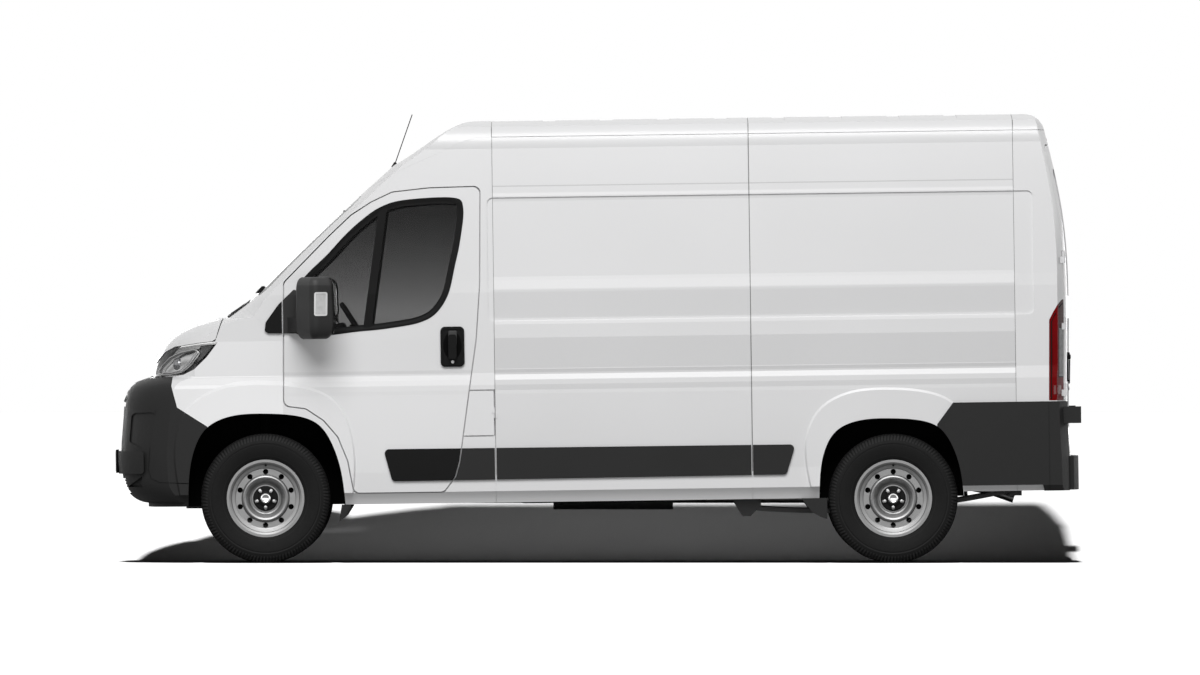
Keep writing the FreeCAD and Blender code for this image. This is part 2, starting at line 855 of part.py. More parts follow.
def strip(side, region):
    low, high = sideSpan(side, doorInner)
    return band(-trimProud, -seamGap, roundPrism(sharePoints(stripShares), stripCorner, low, high).common(region))


def doorTrim(side):
    low, high = sideSpan(side, doorInner)
    opening = roundPrism(grow(windowOutline(), -seamGap), windowCorner, low, high)
    bar = band(0, skinThick, opening.common(prism(dividerOutline(), low, high)))
    return [bar, handlePlate(side, handleFront, flapRoom()), strip(side, doorPrism(0, side))]


def flapRoom():
    return block(flapFront - panelGap, flapRear, -farY, farY, flapBottom, flapTop)


def sideTrim():
    # Strips on the fixed panels, the sliding door's rail and handle, and the guards behind the wheels' arches
    solids = []
    spans = [(-halfLength, cabRearX - grooveWidth), (cabRearX + grooveWidth, sideSeamX - grooveWidth),
             (sideSeamX + grooveWidth, halfLength)]
    for side in sides:
        for x0, x1 in spans:
            region = block(x0, x1, -farY, farY, 0, roofHeight).cut(doorPrism(panelGap, side))
            solids.append(strip(side, region))
        for shares in (guardFrontShares, guardRearShares):
            solids.append(forSide(prism(sharePoints(shares), guardInner, guardOuter), side))
    low, high = sideSpan("right", doorInner)
    rail = block(railStart, bodyRearX - railHeight, low, high, railZ, railZ + railHeight)
    solids.append(band(-trimProud, -seamGap, rail))
    solids.append(handlePlate("right", slideHandleX, flapRoom()))
    return solids


def sailPrism(side):
    low, high = sideSpan(side, doorInner)
    return band(-trimProud, -seamGap, roundPrism(sharePoints(sailShares), sailCorner, low, high))


def mirrorHousing():
    # Shell of the mirror, lofted upwards through rounded sections, made for the right side
    wires = []
    for high, size in mirrorShares:
        half = mirrorDepth / 2 * size
        reach = mirrorWidth / 2 * size
        wire = rounded(corners(-half, half, -reach, reach), mirrorCorner * size)
        wire.rotate(origin, V(1, 0, 0), 90)
        wire.translate(V(0, 0, mirrorHeight * high))
        wires.append(wire)
    shell = Part.makeLoft(wires, True, False)
    shell.rotate(origin, upAxis, mirrorYaw)
    shell.translate(V(mirrorX, mirrorY, mirrorZ))
    foot = mirrorZ + windowCorner
    outline = [V(mirrorArmFront, halfWidth, foot), V(mirrorArmRear, halfWidth, foot),
               V(mirrorArmRear + mirrorArmShift, mirrorArmReach, foot),
               V(mirrorArmFront + mirrorArmShift, mirrorArmReach, foot)]
    arm = Part.Face(Part.makePolygon(outline + [outline[0]])).extrude(V(0, 0, mirrorArmTop))
    return shell.fuse(arm)


def mirror(side):
    # Housing on its arm, with the part of the sail that rides on the door
    plate = sailPrism(side).common(block(doorFront, doorRear, -farY, farY, 0, roofHeight))
    return plate.fuse(forSide(mirrorHousing(), side))


def wipers():
    arms = []
    for shift in (0, wiperShift):
        outline = [V((a + shift) * halfWidth, 0, b * roofHeight) for a, b in wiperShares]
        arms.append(band(-trimProud, glassInset - seamGap, turned(prism(outline, -screenBack, farX))))
    return arms


def aerial():
    lean = math.radians(aerialLean)
    along = V(math.sin(lean), 0, math.cos(lean))
    foot = V(aerialX, 0, aerialZ)
    mast = Part.makeCylinder(aerialRadius, aerialLength, foot, along)
    base = Part.makeCone(aerialFoot, aerialFoot / 2, aerialFootHeight * 2, foot - along * aerialFootHeight, along)
    return mast.fuse(base).cut(Forms.at(-seamGap))


def frontTrim():
    # Fixed parts of the mirror sails, wipers and aerial
    front = block(-farX, doorFront - panelGap, -farY, farY, 0, roofHeight)
    return [sailPrism(side).common(front) for side in sides] + wipers() + [aerial()]


def cabFrame():
    region = block(bonnetRearX, cabRearX - seamGap, -farY, farY, sillZ, roofHeight)
    shell = wall(region)
    tools = [roofRegion(seamGap), screenPrism(0), seamGrooves()]
    for side in sides:
        tools.append(wingRegion(seamGap, side))
        tools.append(leafHole(doorOutline(), windowCorner, side))
        tools.append(archHole(frontArch, 0, side, 0))
        tools.append(sideRecess(side))
    tools.append(flapHole())
    for tool in tools:
        shell = shell.cut(tool)
    room = block(doorFront - panelGap, cabRearX, -farY, farY, sillZ, doorTop)
    for side in sides:
        shell = shell.fuse(flare(frontArch, side).common(room).cut(doorPrism(panelGap, side)))
    for fixed, moving, fixedRoom, movingRoom in bonnetHinges():
        shell = shell.cut(movingRoom).fuse(fixed)
    return shell


def flapPrism(size, low, high):
    return block(flapFront - size, flapRear + size, low, high, flapBottom - size, flapTop + size)


def flapHole():
    low, high = sideSpan("left", doorInner)
    return flapPrism(panelGap, low, high).cut(Forms.at(skinThick + rebateGap))


def flapHinge():
    x = flapRear + panelGap / 2
    y = -halfWidth - hingeProud
    z = (flapBottom + flapTop) / 2
    arms = []
    for turn, low, high in ((1, -flapHingeHeight / 2, 0), (-1, seamGap, flapHingeHeight / 2)):
        x0, x1 = sorted((x, x + turn * flapHingeArm))
        arms.append(block(x0, x1, y - flapHingePin, y + flapHingeArm, z + low, z + high))
    return hingeHalves(V(x, y, z), upAxis, flapHingeRadius, flapHingePin, flapHingeHeight, arms)


def fuelFlap():
    low, high = sideSpan("left", doorInner)
    region = flapPrism(0, low, high).cut(doorPrism(panelGap, "left"))
    fixed, moving, fixedRoom, movingRoom = flapHinge()
    return band(0, flapThick, region).cut(fixedRoom).fuse(moving)


def wing(side):
    shell = wall(wingRegion(0, side)).cut(archHole(frontArch, 0, side, 0))
    shell = shell.cut(bumperRegion(seamGap)).cut(lampPrism(seamGap, side))
    room = block(-farX, doorFront - panelGap, -farY, farY, sillZ, doorTop)
    return shell.fuse(flare(frontArch, side).common(room).cut(bumperRegion(seamGap)))


def panelLine():
    line = sharePoints(panelLineShares)
    return line + list(reversed(shifted(line, grooveWidth)))


def frontBumper():
    shell = wall(bumperRegion(0))
    rub = band(-rearBumperProud, 0, roundPrism(sharePoints(rubShares), rubCorner, -farY, farY))
    shell = shell.fuse(rub)
    for side in sides:
        shell = shell.fuse(flare(frontArch, side).common(bumperRegion(0)))
    tools = [block(-farX, noseBack, -grilleHalf, grilleHalf, grilleBottom, grilleTop),
             block(-farX, noseBack, -intakeHalf, intakeHalf, intakeBottom, intakeTop)]
    for side in sides:
        low, high = sideSpan(side, cornerHalfInner)
        tools.append(archHole(frontArch, 0, side, 0))
        tools.append(lampPrism(seamGap, side))
        tools.append(roundPrism(sharePoints(pocketShares), rubCorner, low, high).cut(Forms.at(recessDepth)))
        tools.append(prism(sharePoints(mouthShares), low, high).cut(Forms.at(skinThick)))
        tools.append(prism(panelLine(), low, high).cut(Forms.at(grooveDepth)))
    for tool in tools:
        shell = shell.cut(tool)
    return shell


def grille():
    # Frame and slats of the upper opening, and a plain grid for the lower intake
    solids = []
    for half, bottom, top in ((grilleHalf, grilleBottom, grilleTop), (intakeHalf, intakeBottom, intakeTop)):
        frame = block(-farX, noseBack, -half + seamGap, half - seamGap, bottom + seamGap, top - seamGap)
        slats = []
        pitch = (top - bottom) / slatCount
        for i in range(slatCount):
            z = bottom + pitch * (i + slatGapShare)
            slats.append(block(-farX, noseBack, -half + slatEnd, half - slatEnd, z, z + pitch * slatGapShare))
        solids.append(band(recessDepth, recessDepth + slatDepth, frame.cut(Part.makeCompound(slats))))
    return solids


def bonnetHinges():
    halves = []
    x = bonnetRearX - panelGap / 2
    z = bonnetRearZ + hingeProud
    for side in (-1, 1):
        arms = []
        for turn, low, high in ((1, -bonnetHingeHeight / 2, 0), (-1, seamGap, bonnetHingeHeight / 2)):
            x0, x1 = sorted((x, x + turn * bonnetHingeArm))
            arms.append(block(x0, x1, side * bonnetHingeY + low, side * bonnetHingeY + high,
                              z - bonnetHingeArm * 2, z + bonnetHingePin))
        halves.append(hingeHalves(V(x, side * bonnetHingeY, z), sideAxis, bonnetHingeRadius, bonnetHingePin,
                                  bonnetHingeHeight, arms))
    return halves


def bonnet():
    shell = wall(bonnetRegion(-panelGap))
    shell = cutAll(shell, [lampPrism(panelGap, side) for side in sides])
    for fixed, moving, fixedRoom, movingRoom in bonnetHinges():
        shell = shell.cut(fixedRoom).fuse(moving)
    return shell


def headlamps():
    return [wall(lampPrism(-seamGap, side)) for side in sides]


def roofPanel():
    shell = wall(roofRegion(0)).cut(seamGrooves())
    ribs = []
    for i in range(ribCount):
        x = cabRearX + ribPitch * (i + 1)
        ribs.append(block(x - ribWidth / 2, x + ribWidth / 2, -ribHalf, ribHalf, gutterZ, roofHeight + cutOver))
    return shell.cut(Part.makeCompound(ribs).cut(Forms.at(grooveDepth)))


def sidePanel(side):
    low, high = sideSpan(side)
    region = block(cabRearX, bodyRearX, low, high, sillZ, gutterZ - seamGap)
    shell = wall(region).cut(archHole(rearArch, 0, side, 0)).cut(bumperHole())
    if side == "right":
        shell = shell.cut(leafHole(slideOutline(), slideCorner, side))
    shell = shell.cut(sideRecess(side)).cut(seamGrooves())
    if side == "left":
        fixed, moving, fixedRoom, movingRoom = flapHinge()
        shell = shell.cut(movingRoom).fuse(fixed)
    return shell.fuse(flare(rearArch, side).cut(rearBumperRegion(seamGap)))


def rearFrame():
    region = block(bodyRearX + seamGap, farX, -farY, farY, sillZ, gutterZ - seamGap)
    shell = wall(region).cut(rearHole())
    shell = cutAll(shell, [tailLampPrism(seamGap, side) for side in sides])
    shell = shell.cut(bumperHole()).cut(seamGrooves())
    for side in sides:
        shell = shell.cut(sideRecess(side))
        for fixed, moving, fixedRoom, movingRoom in rearHinges(side):
            shell = shell.cut(movingRoom).fuse(fixed)
    return shell


def tailLamps():
    return [wall(tailLampPrism(0, side)) for side in sides]


def rearBumper():
    # Two corner covers with rubber buffers, and a low step between them
    middle = block(bodyRearX, farX, -bumperHalfInner, bumperHalfInner, 0, roofHeight)
    shell = band(-rearBumperProud, wallThick, rearBumperRegion(0).cut(middle))
    shell = cutAll(shell, [archHole(rearArch, 0, side, 0) for side in sides])
    half = grooveWidth / 2
    split = block(bumperSplitX - half, bumperSplitX + half, -farY, farY, 0, rearBumperTop * 2)
    shell = shell.cut(split.cut(Forms.at(-rearBumperProud + grooveDepth)))
    for side in sides:
        buffer = block(bufferFront, bufferRear, bufferInner, bufferOuter, bufferBottom, bufferTop)
        shell = shell.fuse(forSide(buffer.cut(Forms.at(0)), side))
    step = block(rearFrameX, farX, -bumperHalfInner + panelGap, bumperHalfInner - panelGap, stepBottom, stepTop)
    return [shell, band(-stepProud, -seamGap, step)]


def slidingDoor():
    return leaf(slideOutline(), slideCorner, "right").cut(sideRecess("right"))


def screenGlass():
    return band(glassInset, glassInset + glassThick, screenPrism(-seamGap))


def loadFloor():
    start = cabRearX + bulkheadThick + seamGap
    plate = inside(block(start, rearFrameX, -farY, farY, floorZ - floorThick, floorZ))
    return cutAll(plate, [archHole(rearArch, linerGrow + seamGap, side, rearTubInner - linerThick - seamGap)
                          for side in sides])


def archLiner(arch, side, inner):
    outer = archHole(arch, linerGrow, side, inner - linerThick)
    hollow = archHole(arch, linerGrow - linerThick, side, inner)
    return inside(outer.cut(hollow).common(block(-farX, farX, -farY, farY, sillZ, roofHeight)))


def archLiners():
    # Liners of the four arches, with ways through for the struts, the drive shafts and the axle
    solids = []
    for side in sides:
        low, high = sideSpan(side, 0)
        front = archLiner(frontArch, side, frontTubInner)
        centre = frontArchX
        front = front.cut(block(centre - shaftHole, centre + shaftHole, -steerAxisY, steerAxisY, 0, shaftHoleTop))
        tower = Part.makeCylinder(strutHole, roofHeight, V(centre, steerAxisY, frontArchTop - cutOver))
        solids.append(front.cut(forSide(tower, side)))
        rear = archLiner(rearArch, side, rearTubInner)
        rear = rear.cut(block(rearArchX - axleHole, rearArchX + axleHole, low, high, 0, axleHoleTop))
        solids.append(rear)
    return solids


def bulkhead():
    return inside(block(cabRearX, cabRearX + bulkheadThick, -farY, farY, floorZ - floorThick, roofHeight + cutOver))


def cabFloor():
    outline = [V(cabRearX - seamGap, 0, cabFloorZ), V(heelX, 0, cabFloorZ), V(toeX, 0, toeZ),
               V(fireX, 0, fireTop), V(fireX - cabPlate, 0, fireTop), V(toeX - cabPlate, 0, toeZ),
               V(heelX - cabPlate, 0, cabFloorZ - cabPlate), V(cabRearX - seamGap, 0, cabFloorZ - cabPlate)]
    plate = inside(prism(outline, -farY, farY))
    return cutAll(plate, [archHole(frontArch, linerGrow + seamGap, side, frontTubInner - linerThick - seamGap)
                          for side in sides])


def chassis():
    # Rails under the floors, with the front cradle and the rack's tube as one piece below them
    solids = []
    for sign in (-1, 1):
        y0, y1 = sorted((sign * railHalfIn, sign * railHalfOut))
        top = floorZ - floorThick - seamGap
        solids.append(raked(block(railFront, cabRearX, y0, y1, railBottom, top)))
        solids.append(raked(block(cabRearX + seamGap, rearFrameX, y0, y1, railBottom, top)))
    return solids + [subframe()]


def engineBlock():
    return block(engineFront, engineRear, -engineHalf, engineHalf, cradleTop + seamGap, engineTop)


def dashboard():
    outline = boxPoints(dashShares, dashFront, dashRear, dashBottom, dashTop)
    body = inside(prism(outline, -farY, farY))
    body = body.cut(Part.makeCompound([leafHole(doorOutline(), windowCorner, side) for side in sides]))
    column = Part.makeCylinder(columnRadius, columnLength, V(0, 0, -wheelBossDepth - seamGap), -upAxis)
    return body.fuse(alongColumn(column))


def alongColumn(shape):
    # Carries a shape from the column's own axis to its place in the cab
    shape.rotate(origin, sideAxis, 90 - columnTilt)
    shape.translate(V(columnX, driverY, columnZ))
    return shape


def wheelRing():
    whole = Part.makeTorus(wheelRim - wheelTube, wheelTube)
    whole = whole.fuse(Part.makeCylinder(wheelBossRadius, wheelBossDepth, V(0, 0, -wheelBossDepth)))
    for turn in (90, 210, 330):
        spoke = Part.makeBox(wheelRim - wheelTube, spokeWidth, wheelTube, V(0, -spokeWidth / 2, -wheelTube))
        whole = whole.fuse(spoke.rotate(origin, upAxis, turn))
    return alongColumn(whole)


def seatCushions():
    half = seatWidth / 2
    return [block(seatFront, seatFront + seatDepth, y - half, y + half, seatZ, seatZ + seatThick) for y in seatYs]


def seatBacks():
    solids = []
    for y in seatYs:
        back = block(0, backThick, y - seatWidth / 2, y + seatWidth / 2, 0, backHeight)
        back.rotate(V(0, y, 0), sideAxis, backLean)
        back.translate(V(seatFront + seatDepth + seamGap, 0, seatZ + backThick * math.sin(math.radians(backLean))))
        solids.append(back)
    return solids


def seatBases():
    half = seatWidth / 2 - baseInset
    return [block(seatFront + baseInset, seatFront + seatDepth - baseInset, y - half, y + half,
                  cabFloorZ + seamGap, seatZ - seamGap) for y in seatYs]


def lathe(profile, centre):
    # Revolves an outline of radius against offset in y about the wheel's axle
    wire = Part.makePolygon([V(r, y, 0) for r, y in profile] + [V(profile[0][0], profile[0][1], 0)])
    solid = Part.Face(wire).revolve(origin, sideAxis, 360)
    solid.translate(centre)
    return solid


def wheelCentre(front, side):
    track = frontTrack if front else rearTrack
    return V(frontAxleX if front else rearAxleX, (-1 if side == "left" else 1) * track / 2, tyreRadius)


def outwards(side):
    return -1 if side == "left" else 1


def tyre(front, side):
    half = tyreWidth / 2
    outline = [(r * tyreRadius, w * half) for r, w in tyreShares]
    outline = outline + [(r, -w) for r, w in reversed(outline[:-1])]
    return lathe(outline, wheelCentre(front, side))


def rim(front, side):
    # Steel wheel: flange, well, dished disc with its ring of holes, and the plain inner flange
    seat = tyreRadius * beadShare - seamGap
    face = [(a * seat, b * rimHalf) for a, b in rimFaceShares] + [(hubBore, discInset + discDepth)]
    back = [(hubBore, discInset)] + [(a * seat, b * rimHalf) for a, b in rimBackShares]
    inner = [(seat - rimWall, face[5][1] - rimWall), (seat - rimWall, -rimHalf), (rimFlangeShare * seat, -rimHalf),
             (rimFlangeShare * seat, -face[1][1]), (seat, -face[0][1])]
    outward = outwards(side)
    solid = lathe([(r, outward * y) for r, y in face + back + inner], origin)
    holes = []
    for i in range(wheelHoles):
        hole = Part.makeCylinder(wheelHoleRadius, rimHalf * 2, V(0, -rimHalf, wheelHoleCircle), sideAxis)
        holes.append(hole.rotate(origin, sideAxis, i * 360 / wheelHoles))
    solid = solid.cut(Part.makeCompound(holes))
    solid.translate(wheelCentre(front, side))
    return solid


def hub(front, side):
    # Cover over the wheel's centre, and the brake disc with its bell behind the rim
    outward = outwards(side)
    start = discInset + discDepth + seamGap
    cap = [(r * hubCapRadius, outward * (start + h * hubCapDepth)) for r, h in capShares]
    low = discInset - seamGap
    disc = [(hubBore, low), (hubRadius, low), (hubRadius, brakeThick - brakeInset),
            (brakeRadius, brakeThick - brakeInset), (brakeRadius, -brakeInset), (hubBore, -brakeInset)]
    centre = wheelCentre(front, side)
    return [lathe(cap, centre), lathe([(r, outward * y) for r, y in disc], centre)]


def knuckle(side):
    # Upright with spindle, strut and steering arm, made for the right side
    centre = wheelCentre(True, "right")
    start = centre.y - brakeInset - knuckleReach
    spindle = Part.makeCylinder(hubBore - spindleFit, discInset + brakeInset + knuckleReach,
                                V(centre.x, start, centre.z), sideAxis)
    back = centre.y - brakeInset - panelGap
    low = tyreRadius - uprightHalf
    high = tyreRadius + uprightHalf
    x0 = centre.x - strutRadius
    x1 = centre.x + strutRadius
    upright = block(centre.x - hubRadius, centre.x + hubRadius, back - hubBore, back, low, high)
    lug = block(x0, x1, steerAxisY, back, strutFoot, high)
    strut = Part.makeCylinder(strutRadius, strutTop - strutFoot, V(centre.x, steerAxisY, strutFoot))
    pivot = Part.makeCylinder(strutRadius, hubBore, V(centre.x, steerAxisY, low))
    foot = block(x0, x1, steerAxisY, back, low, low + hubBore)
    arm = block(centre.x, centre.x + steerArm, steerAxisY - eyeRadius, steerAxisY + eyeRadius, armZ,
                armZ + eyeThick)
    tip = Part.makeCylinder(eyeRadius, eyeThick, V(centre.x + steerArm, steerAxisY, armZ))
    link = block(centre.x, centre.x + hubRadius, steerAxisY, back, armZ, armZ + eyeThick)
    whole = upright.fuse([spindle, lug, strut, pivot, foot, arm, tip, link])
    return forSide(whole.cut(Part.makeSphere(ballRadius + ballRoom, V(centre.x, steerAxisY, tyreRadius))), side)


def driveShafts():
    start = engineHalf + seamGap
    bar = Part.makeCylinder(shaftRadius, steerAxisY - start, V(frontAxleX, start, tyreRadius), sideAxis)
    ball = Part.makeSphere(ballRadius, V(frontAxleX, steerAxisY, tyreRadius))
    half = block(frontAxleX - halfWidth, frontAxleX + halfWidth, steerAxisY, farY, 0, roofHeight)
    solid = bar.fuse(ball.cut(half))
    return [forSide(solid.copy(), side) for side in sides]


def steeringRack():
    z = armZ - eyeDrop - eyeThick / 2
    x = frontAxleX + steerArm
    rack = Part.makeCylinder(tieRadius, steerAxisY * 2, V(x, -steerAxisY, z), sideAxis)
    eyes = [Part.makeCylinder(eyeRadius, eyeThick, V(x, s * steerAxisY, z - eyeThick / 2)) for s in (-1, 1)]
    return rack.fuse(eyes)


def subframe():
    # Cradle under the engine with the rack's tube, posts up to the rails and lower arms out to the knuckles
    rackX = frontAxleX + steerArm
    rackZ = armZ - eyeDrop - eyeThick / 2
    tube = Part.makeCylinder(rackRadius, rackHalf * 2, V(rackX, -rackHalf, rackZ), sideAxis)
    bore = Part.makeCylinder(tieRadius + spindleFit, farY * 2, V(rackX, -farY, rackZ), sideAxis)
    front = block(cradleFront, cradleFront + cradleBar, -cradleHalfOut, cradleHalfOut, cradleBottom, cradleTop)
    rear = block(rackX, cradleRear, -cradleHalfOut, cradleHalfOut, cradleBottom, cradleTop)
    pieces = [rear, tube]
    footZ = tyreRadius - uprightHalf - seamGap
    lowBar = cradleBottom - armDrop
    for sign in (-1, 1):
        y0, y1 = sorted((sign * cradleHalfIn, sign * cradleHalfOut))
        pieces.append(block(cradleFront, cradleRear, y0, y1, lowBar, cradleBottom))
        y0, y1 = sorted((sign * railHalfIn, sign * cradleHalfOut))
        for x in (cradleFront, cradleRear - cradleBar):
            pieces.append(raked(block(x, x + cradleBar, y0, y1, cradleTop - armDrop, railBottom - seamGap)))
        start = V(cradleRear, sign * cradleHalfIn, lowBar)
        outline = [start, V(frontAxleX + strutRadius, sign * steerAxisY, lowBar),
                   V(frontAxleX - strutRadius, sign * steerAxisY, lowBar), V(cradleFront, sign * cradleHalfIn, lowBar)]
        pieces.append(Part.Face(Part.makePolygon(outline + [start])).extrude(V(0, 0, armThick)))
        pieces.append(Part.makeCylinder(strutRadius, footZ - lowBar, V(frontAxleX, sign * steerAxisY, lowBar)))
    return front.fuse(pieces).cut(bore)


def rearAxle():
    centre = wheelCentre(False, "right")
    reach = centre.y - brakeInset - panelGap
    beam = Part.makeCylinder(axleRadius, reach * 2, V(centre.x, -reach, centre.z), sideAxis)
    end = centre.y + discInset - discDepth
    spindle = Part.makeCylinder(hubBore - spindleFit, end * 2, V(centre.x, -end, centre.z), sideAxis)
    return beam.fuse(spindle)


def leafSprings():
    # Springs under the axle with their eyes, the hangers and shackles, and the rear dampers
    solids = []
    low = tyreRadius - axleRadius - seamGap
    y0 = springY - springWidth / 2
    front, rear, middle = V(springFront, y0, springFrontZ), V(springRear, y0, springRearZ), V(rearAxleX, y0, low)
    down = V(0, 0, -springThick)
    upper = Part.Arc(front, middle, rear).toShape()
    lower = Part.Arc(rear + down, middle + down, front + down).toShape()
    wire = Part.Wire([upper, Part.makeLine(rear, rear + down), lower, Part.makeLine(front + down, front)])
    spring = Part.Face(wire).extrude(V(0, springWidth, 0))
    for end in (front, rear):
        middleEye = end + down * (1 / 2)
        spring = spring.fuse(Part.makeCylinder(eyeTube, springWidth, middleEye, sideAxis))
    for end in (front, rear):
        spring = spring.cut(Part.makeCylinder(eyeBore, springWidth, end + down * (1 / 2), sideAxis))
    ceiling = raked(block(-farX, farX, -farY, farY, floorZ - floorThick - seamGap, roofHeight))
    hangers = []
    for end in (front, rear):
        eye = end + down * (1 / 2)
        if end is front:
            outline = [V(eye.x + a * springWidth, 0, eye.z + b * springWidth) for a, b in bracketShares]
        else:
            outline = corners(eye.x - shackleHalf, eye.x + shackleHalf, eye.z - shackleHalf, eye.z + farY)
        start = springY - springWidth / 2 - seamGap - cheekThick
        reach = springWidth + (seamGap + cheekThick) * 2
        pin = Part.makeCylinder(eyeBore - seamGap, reach, V(eye.x, start, eye.z), sideAxis)
        plates = prism(outline, start, start + cheekThick)
        plates = plates.fuse([prism(outline, start + reach - cheekThick, start + reach), pin])
        hangers.append(plates.cut(ceiling))
    foot = V(rearAxleX + axleRadius + seamGap + damperRadius, damperY, damperFoot)
    damper = Part.makeCylinder(damperRadius, damperMiddle - damperFoot, foot)
    damper = damper.fuse(Part.makeCylinder(damperRod, farY, foot)).cut(ceiling)
    for side in sides:
        solids += [forSide(shape.copy(), side) for shape in [spring, damper] + hangers]
    return solids


def exhaust():
    # Pipe from the engine over the axle to the tail, with its silencer
    whole = None
    for (x0, z0), (x1, z1) in zip(pipeRun, pipeRun[1:]):
        start = V(x0, pipeY, z0)
        along = V(x1, pipeY, z1) - start
        piece = Part.makeCylinder(pipeRadius, along.Length, start, along)
        whole = piece if whole is None else whole.fuse([piece, Part.makeSphere(pipeRadius, start)])
    z = pipeRun[0][1]
    drum = Part.makeCylinder(silencerRadius, silencerRear - silencerFront, V(silencerFront, pipeY, z + pipeRadius),
                             V(1, 0, 0))
    return whole.fuse(drum)


def fuelTank():
    outline = corners(tankFront, tankRear, tankBottom, floorZ - floorThick - seamGap)
    return raked(roundPrism(outline, tankCorner, -railHalfIn + seamGap, tankInner))


def raked(shape):
    return shape.rotate(origin, sideAxis, -rakeAngle)


def save(name, solids):
    shape = solids if isinstance(solids, Part.Shape) else Part.makeCompound(list(solids))
    pieces = sorted(shape.Solids, key=lambda s: -s.Volume)
    kept = [s for s in pieces if s.Volume > pieces[0].Volume * dustShare]
    shape = Part.makeCompound(kept) if len(kept) > 1 else kept[0]
    shape.exportStep(os.path.join("parts", name + ".step"))
    print(name, len(kept), "solids", "valid" if shape.isValid() else "INVALID")


def saveRaked(name, solids):
    shapes = [solids] if isinstance(solids, Part.Shape) else solids
    save(name, Part.makeCompound([raked(s) for s in shapes]))


def makeBody():
    saveRaked("cab_frame", cabFrame())
    saveRaked("roof", roofPanel())
    saveRaked("rear_frame", rearFrame())
    saveRaked("front_bumper", frontBumper())
    saveRaked("grille", grille())
    saveRaked("bonnet", bonnet())
    saveRaked("fuel_flap", fuelFlap())
    saveRaked("windscreen", screenGlass())
    saveRaked("headlamps", headlamps())
    saveRaked("tail_lamps", tailLamps())
    saveRaked("rear_bumper", rearBumper())
    saveRaked("sliding_door", slidingDoor())
    saveRaked("side_trim", sideTrim())
    saveRaked("front_trim", frontTrim())
    for side in sides:
        saveRaked("wing_" + side, wing(side))
        saveRaked("side_panel_" + side, sidePanel(side))
        saveRaked("front_door_" + side, frontDoor(side))
        saveRaked("front_glass_" + side, frontGlass(side))
        saveRaked("door_trim_" + side, doorTrim(side))
        saveRaked("mirror_" + side, mirror(side))
        saveRaked("rear_door_" + side, rearLeaf(side))


def makeInside():
    saveRaked("load_floor", loadFloor())
    saveRaked("bulkhead", bulkhead())
    saveRaked("cab_floor", cabFloor())
    saveRaked("arch_liners", archLiners())
    saveRaked("dashboard", dashboard())
    saveRaked("steering_wheel", wheelRing())
    saveRaked("seat_cushions", seatCushions())
    saveRaked("seat_backs", seatBacks())
    saveRaked("seat_bases", seatBases())


def makeRunningGear():
    for front in (True, False):
        for side in sides:
            label = ("front_" if front else "rear_") + side
            save("tyre_" + label, tyre(front, side))
            save("rim_" + label, rim(front, side))
            save("hub_" + label, hub(front, side))
    for side in sides:
        save("knuckle_" + side, knuckle(side))
    save("chassis", chassis())
    save("drive_shafts", driveShafts())
    save("steering_rack", steeringRack())
    save("engine_block", engineBlock())
    save("rear_axle", rearAxle())
    save("leaf_springs", leafSprings())
    save("exhaust", exhaust())
    save("fuel_tank", fuelTank())


if __name__ == "__main__":
    os.makedirs("parts", exist_ok=True)
    makeBody()
    makeInside()
    makeRunningGear()
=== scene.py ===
import bpy
import json
import math
from mathutils import Matrix, Vector

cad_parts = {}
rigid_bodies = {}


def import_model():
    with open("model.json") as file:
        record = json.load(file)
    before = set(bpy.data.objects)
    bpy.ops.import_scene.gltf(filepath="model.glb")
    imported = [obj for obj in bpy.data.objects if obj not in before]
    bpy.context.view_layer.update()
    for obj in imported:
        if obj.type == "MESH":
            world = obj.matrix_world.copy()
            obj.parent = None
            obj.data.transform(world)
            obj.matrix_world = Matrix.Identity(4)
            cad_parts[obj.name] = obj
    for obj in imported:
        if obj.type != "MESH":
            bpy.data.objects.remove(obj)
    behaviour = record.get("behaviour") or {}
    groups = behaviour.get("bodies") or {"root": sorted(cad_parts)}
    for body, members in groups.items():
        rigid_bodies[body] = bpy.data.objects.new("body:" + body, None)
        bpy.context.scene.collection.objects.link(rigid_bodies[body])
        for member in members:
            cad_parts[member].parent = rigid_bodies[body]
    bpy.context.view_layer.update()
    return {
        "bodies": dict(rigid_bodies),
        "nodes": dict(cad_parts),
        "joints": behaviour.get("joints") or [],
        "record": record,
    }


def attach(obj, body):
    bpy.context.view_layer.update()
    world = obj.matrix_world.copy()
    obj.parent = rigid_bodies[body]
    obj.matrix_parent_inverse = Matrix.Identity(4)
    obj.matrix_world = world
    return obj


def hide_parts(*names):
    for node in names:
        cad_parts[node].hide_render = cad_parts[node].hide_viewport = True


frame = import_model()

nodes = frame["nodes"]
rake = math.radians(0.78)
sides = {"left": -1, "right": 1}
axleHeight = 0.360
print("frame loaded:", len(nodes), "nodes")


# Shader sums

def sumOf(operation, swapped=False):
    # A method that adds the Math node of one operator
    return lambda self, other: self.maths(operation, other, swapped)


class Value:
    # A shader socket that takes part in ordinary sums
    def __init__(self, look, socket):
        self.look = look
        self.socket = socket

    def maths(self, operation, other=0.0, swapped=False):
        first, second = (other, self) if swapped else (self, other)
        node = self.look.node("ShaderNodeMath", {"operation": operation}, {0: first, 1: second})
        return Value(self.look, node.outputs[0])

    def held(self, low, high):
        return self.maths("MAXIMUM", low).maths("MINIMUM", high)

    __add__, __radd__ = sumOf("ADD"), sumOf("ADD", True)
    __sub__, __rsub__ = sumOf("SUBTRACT"), sumOf("SUBTRACT", True)
    __mul__, __rmul__ = sumOf("MULTIPLY"), sumOf("MULTIPLY", True)
    __gt__, __lt__ = sumOf("GREATER_THAN"), sumOf("LESS_THAN")


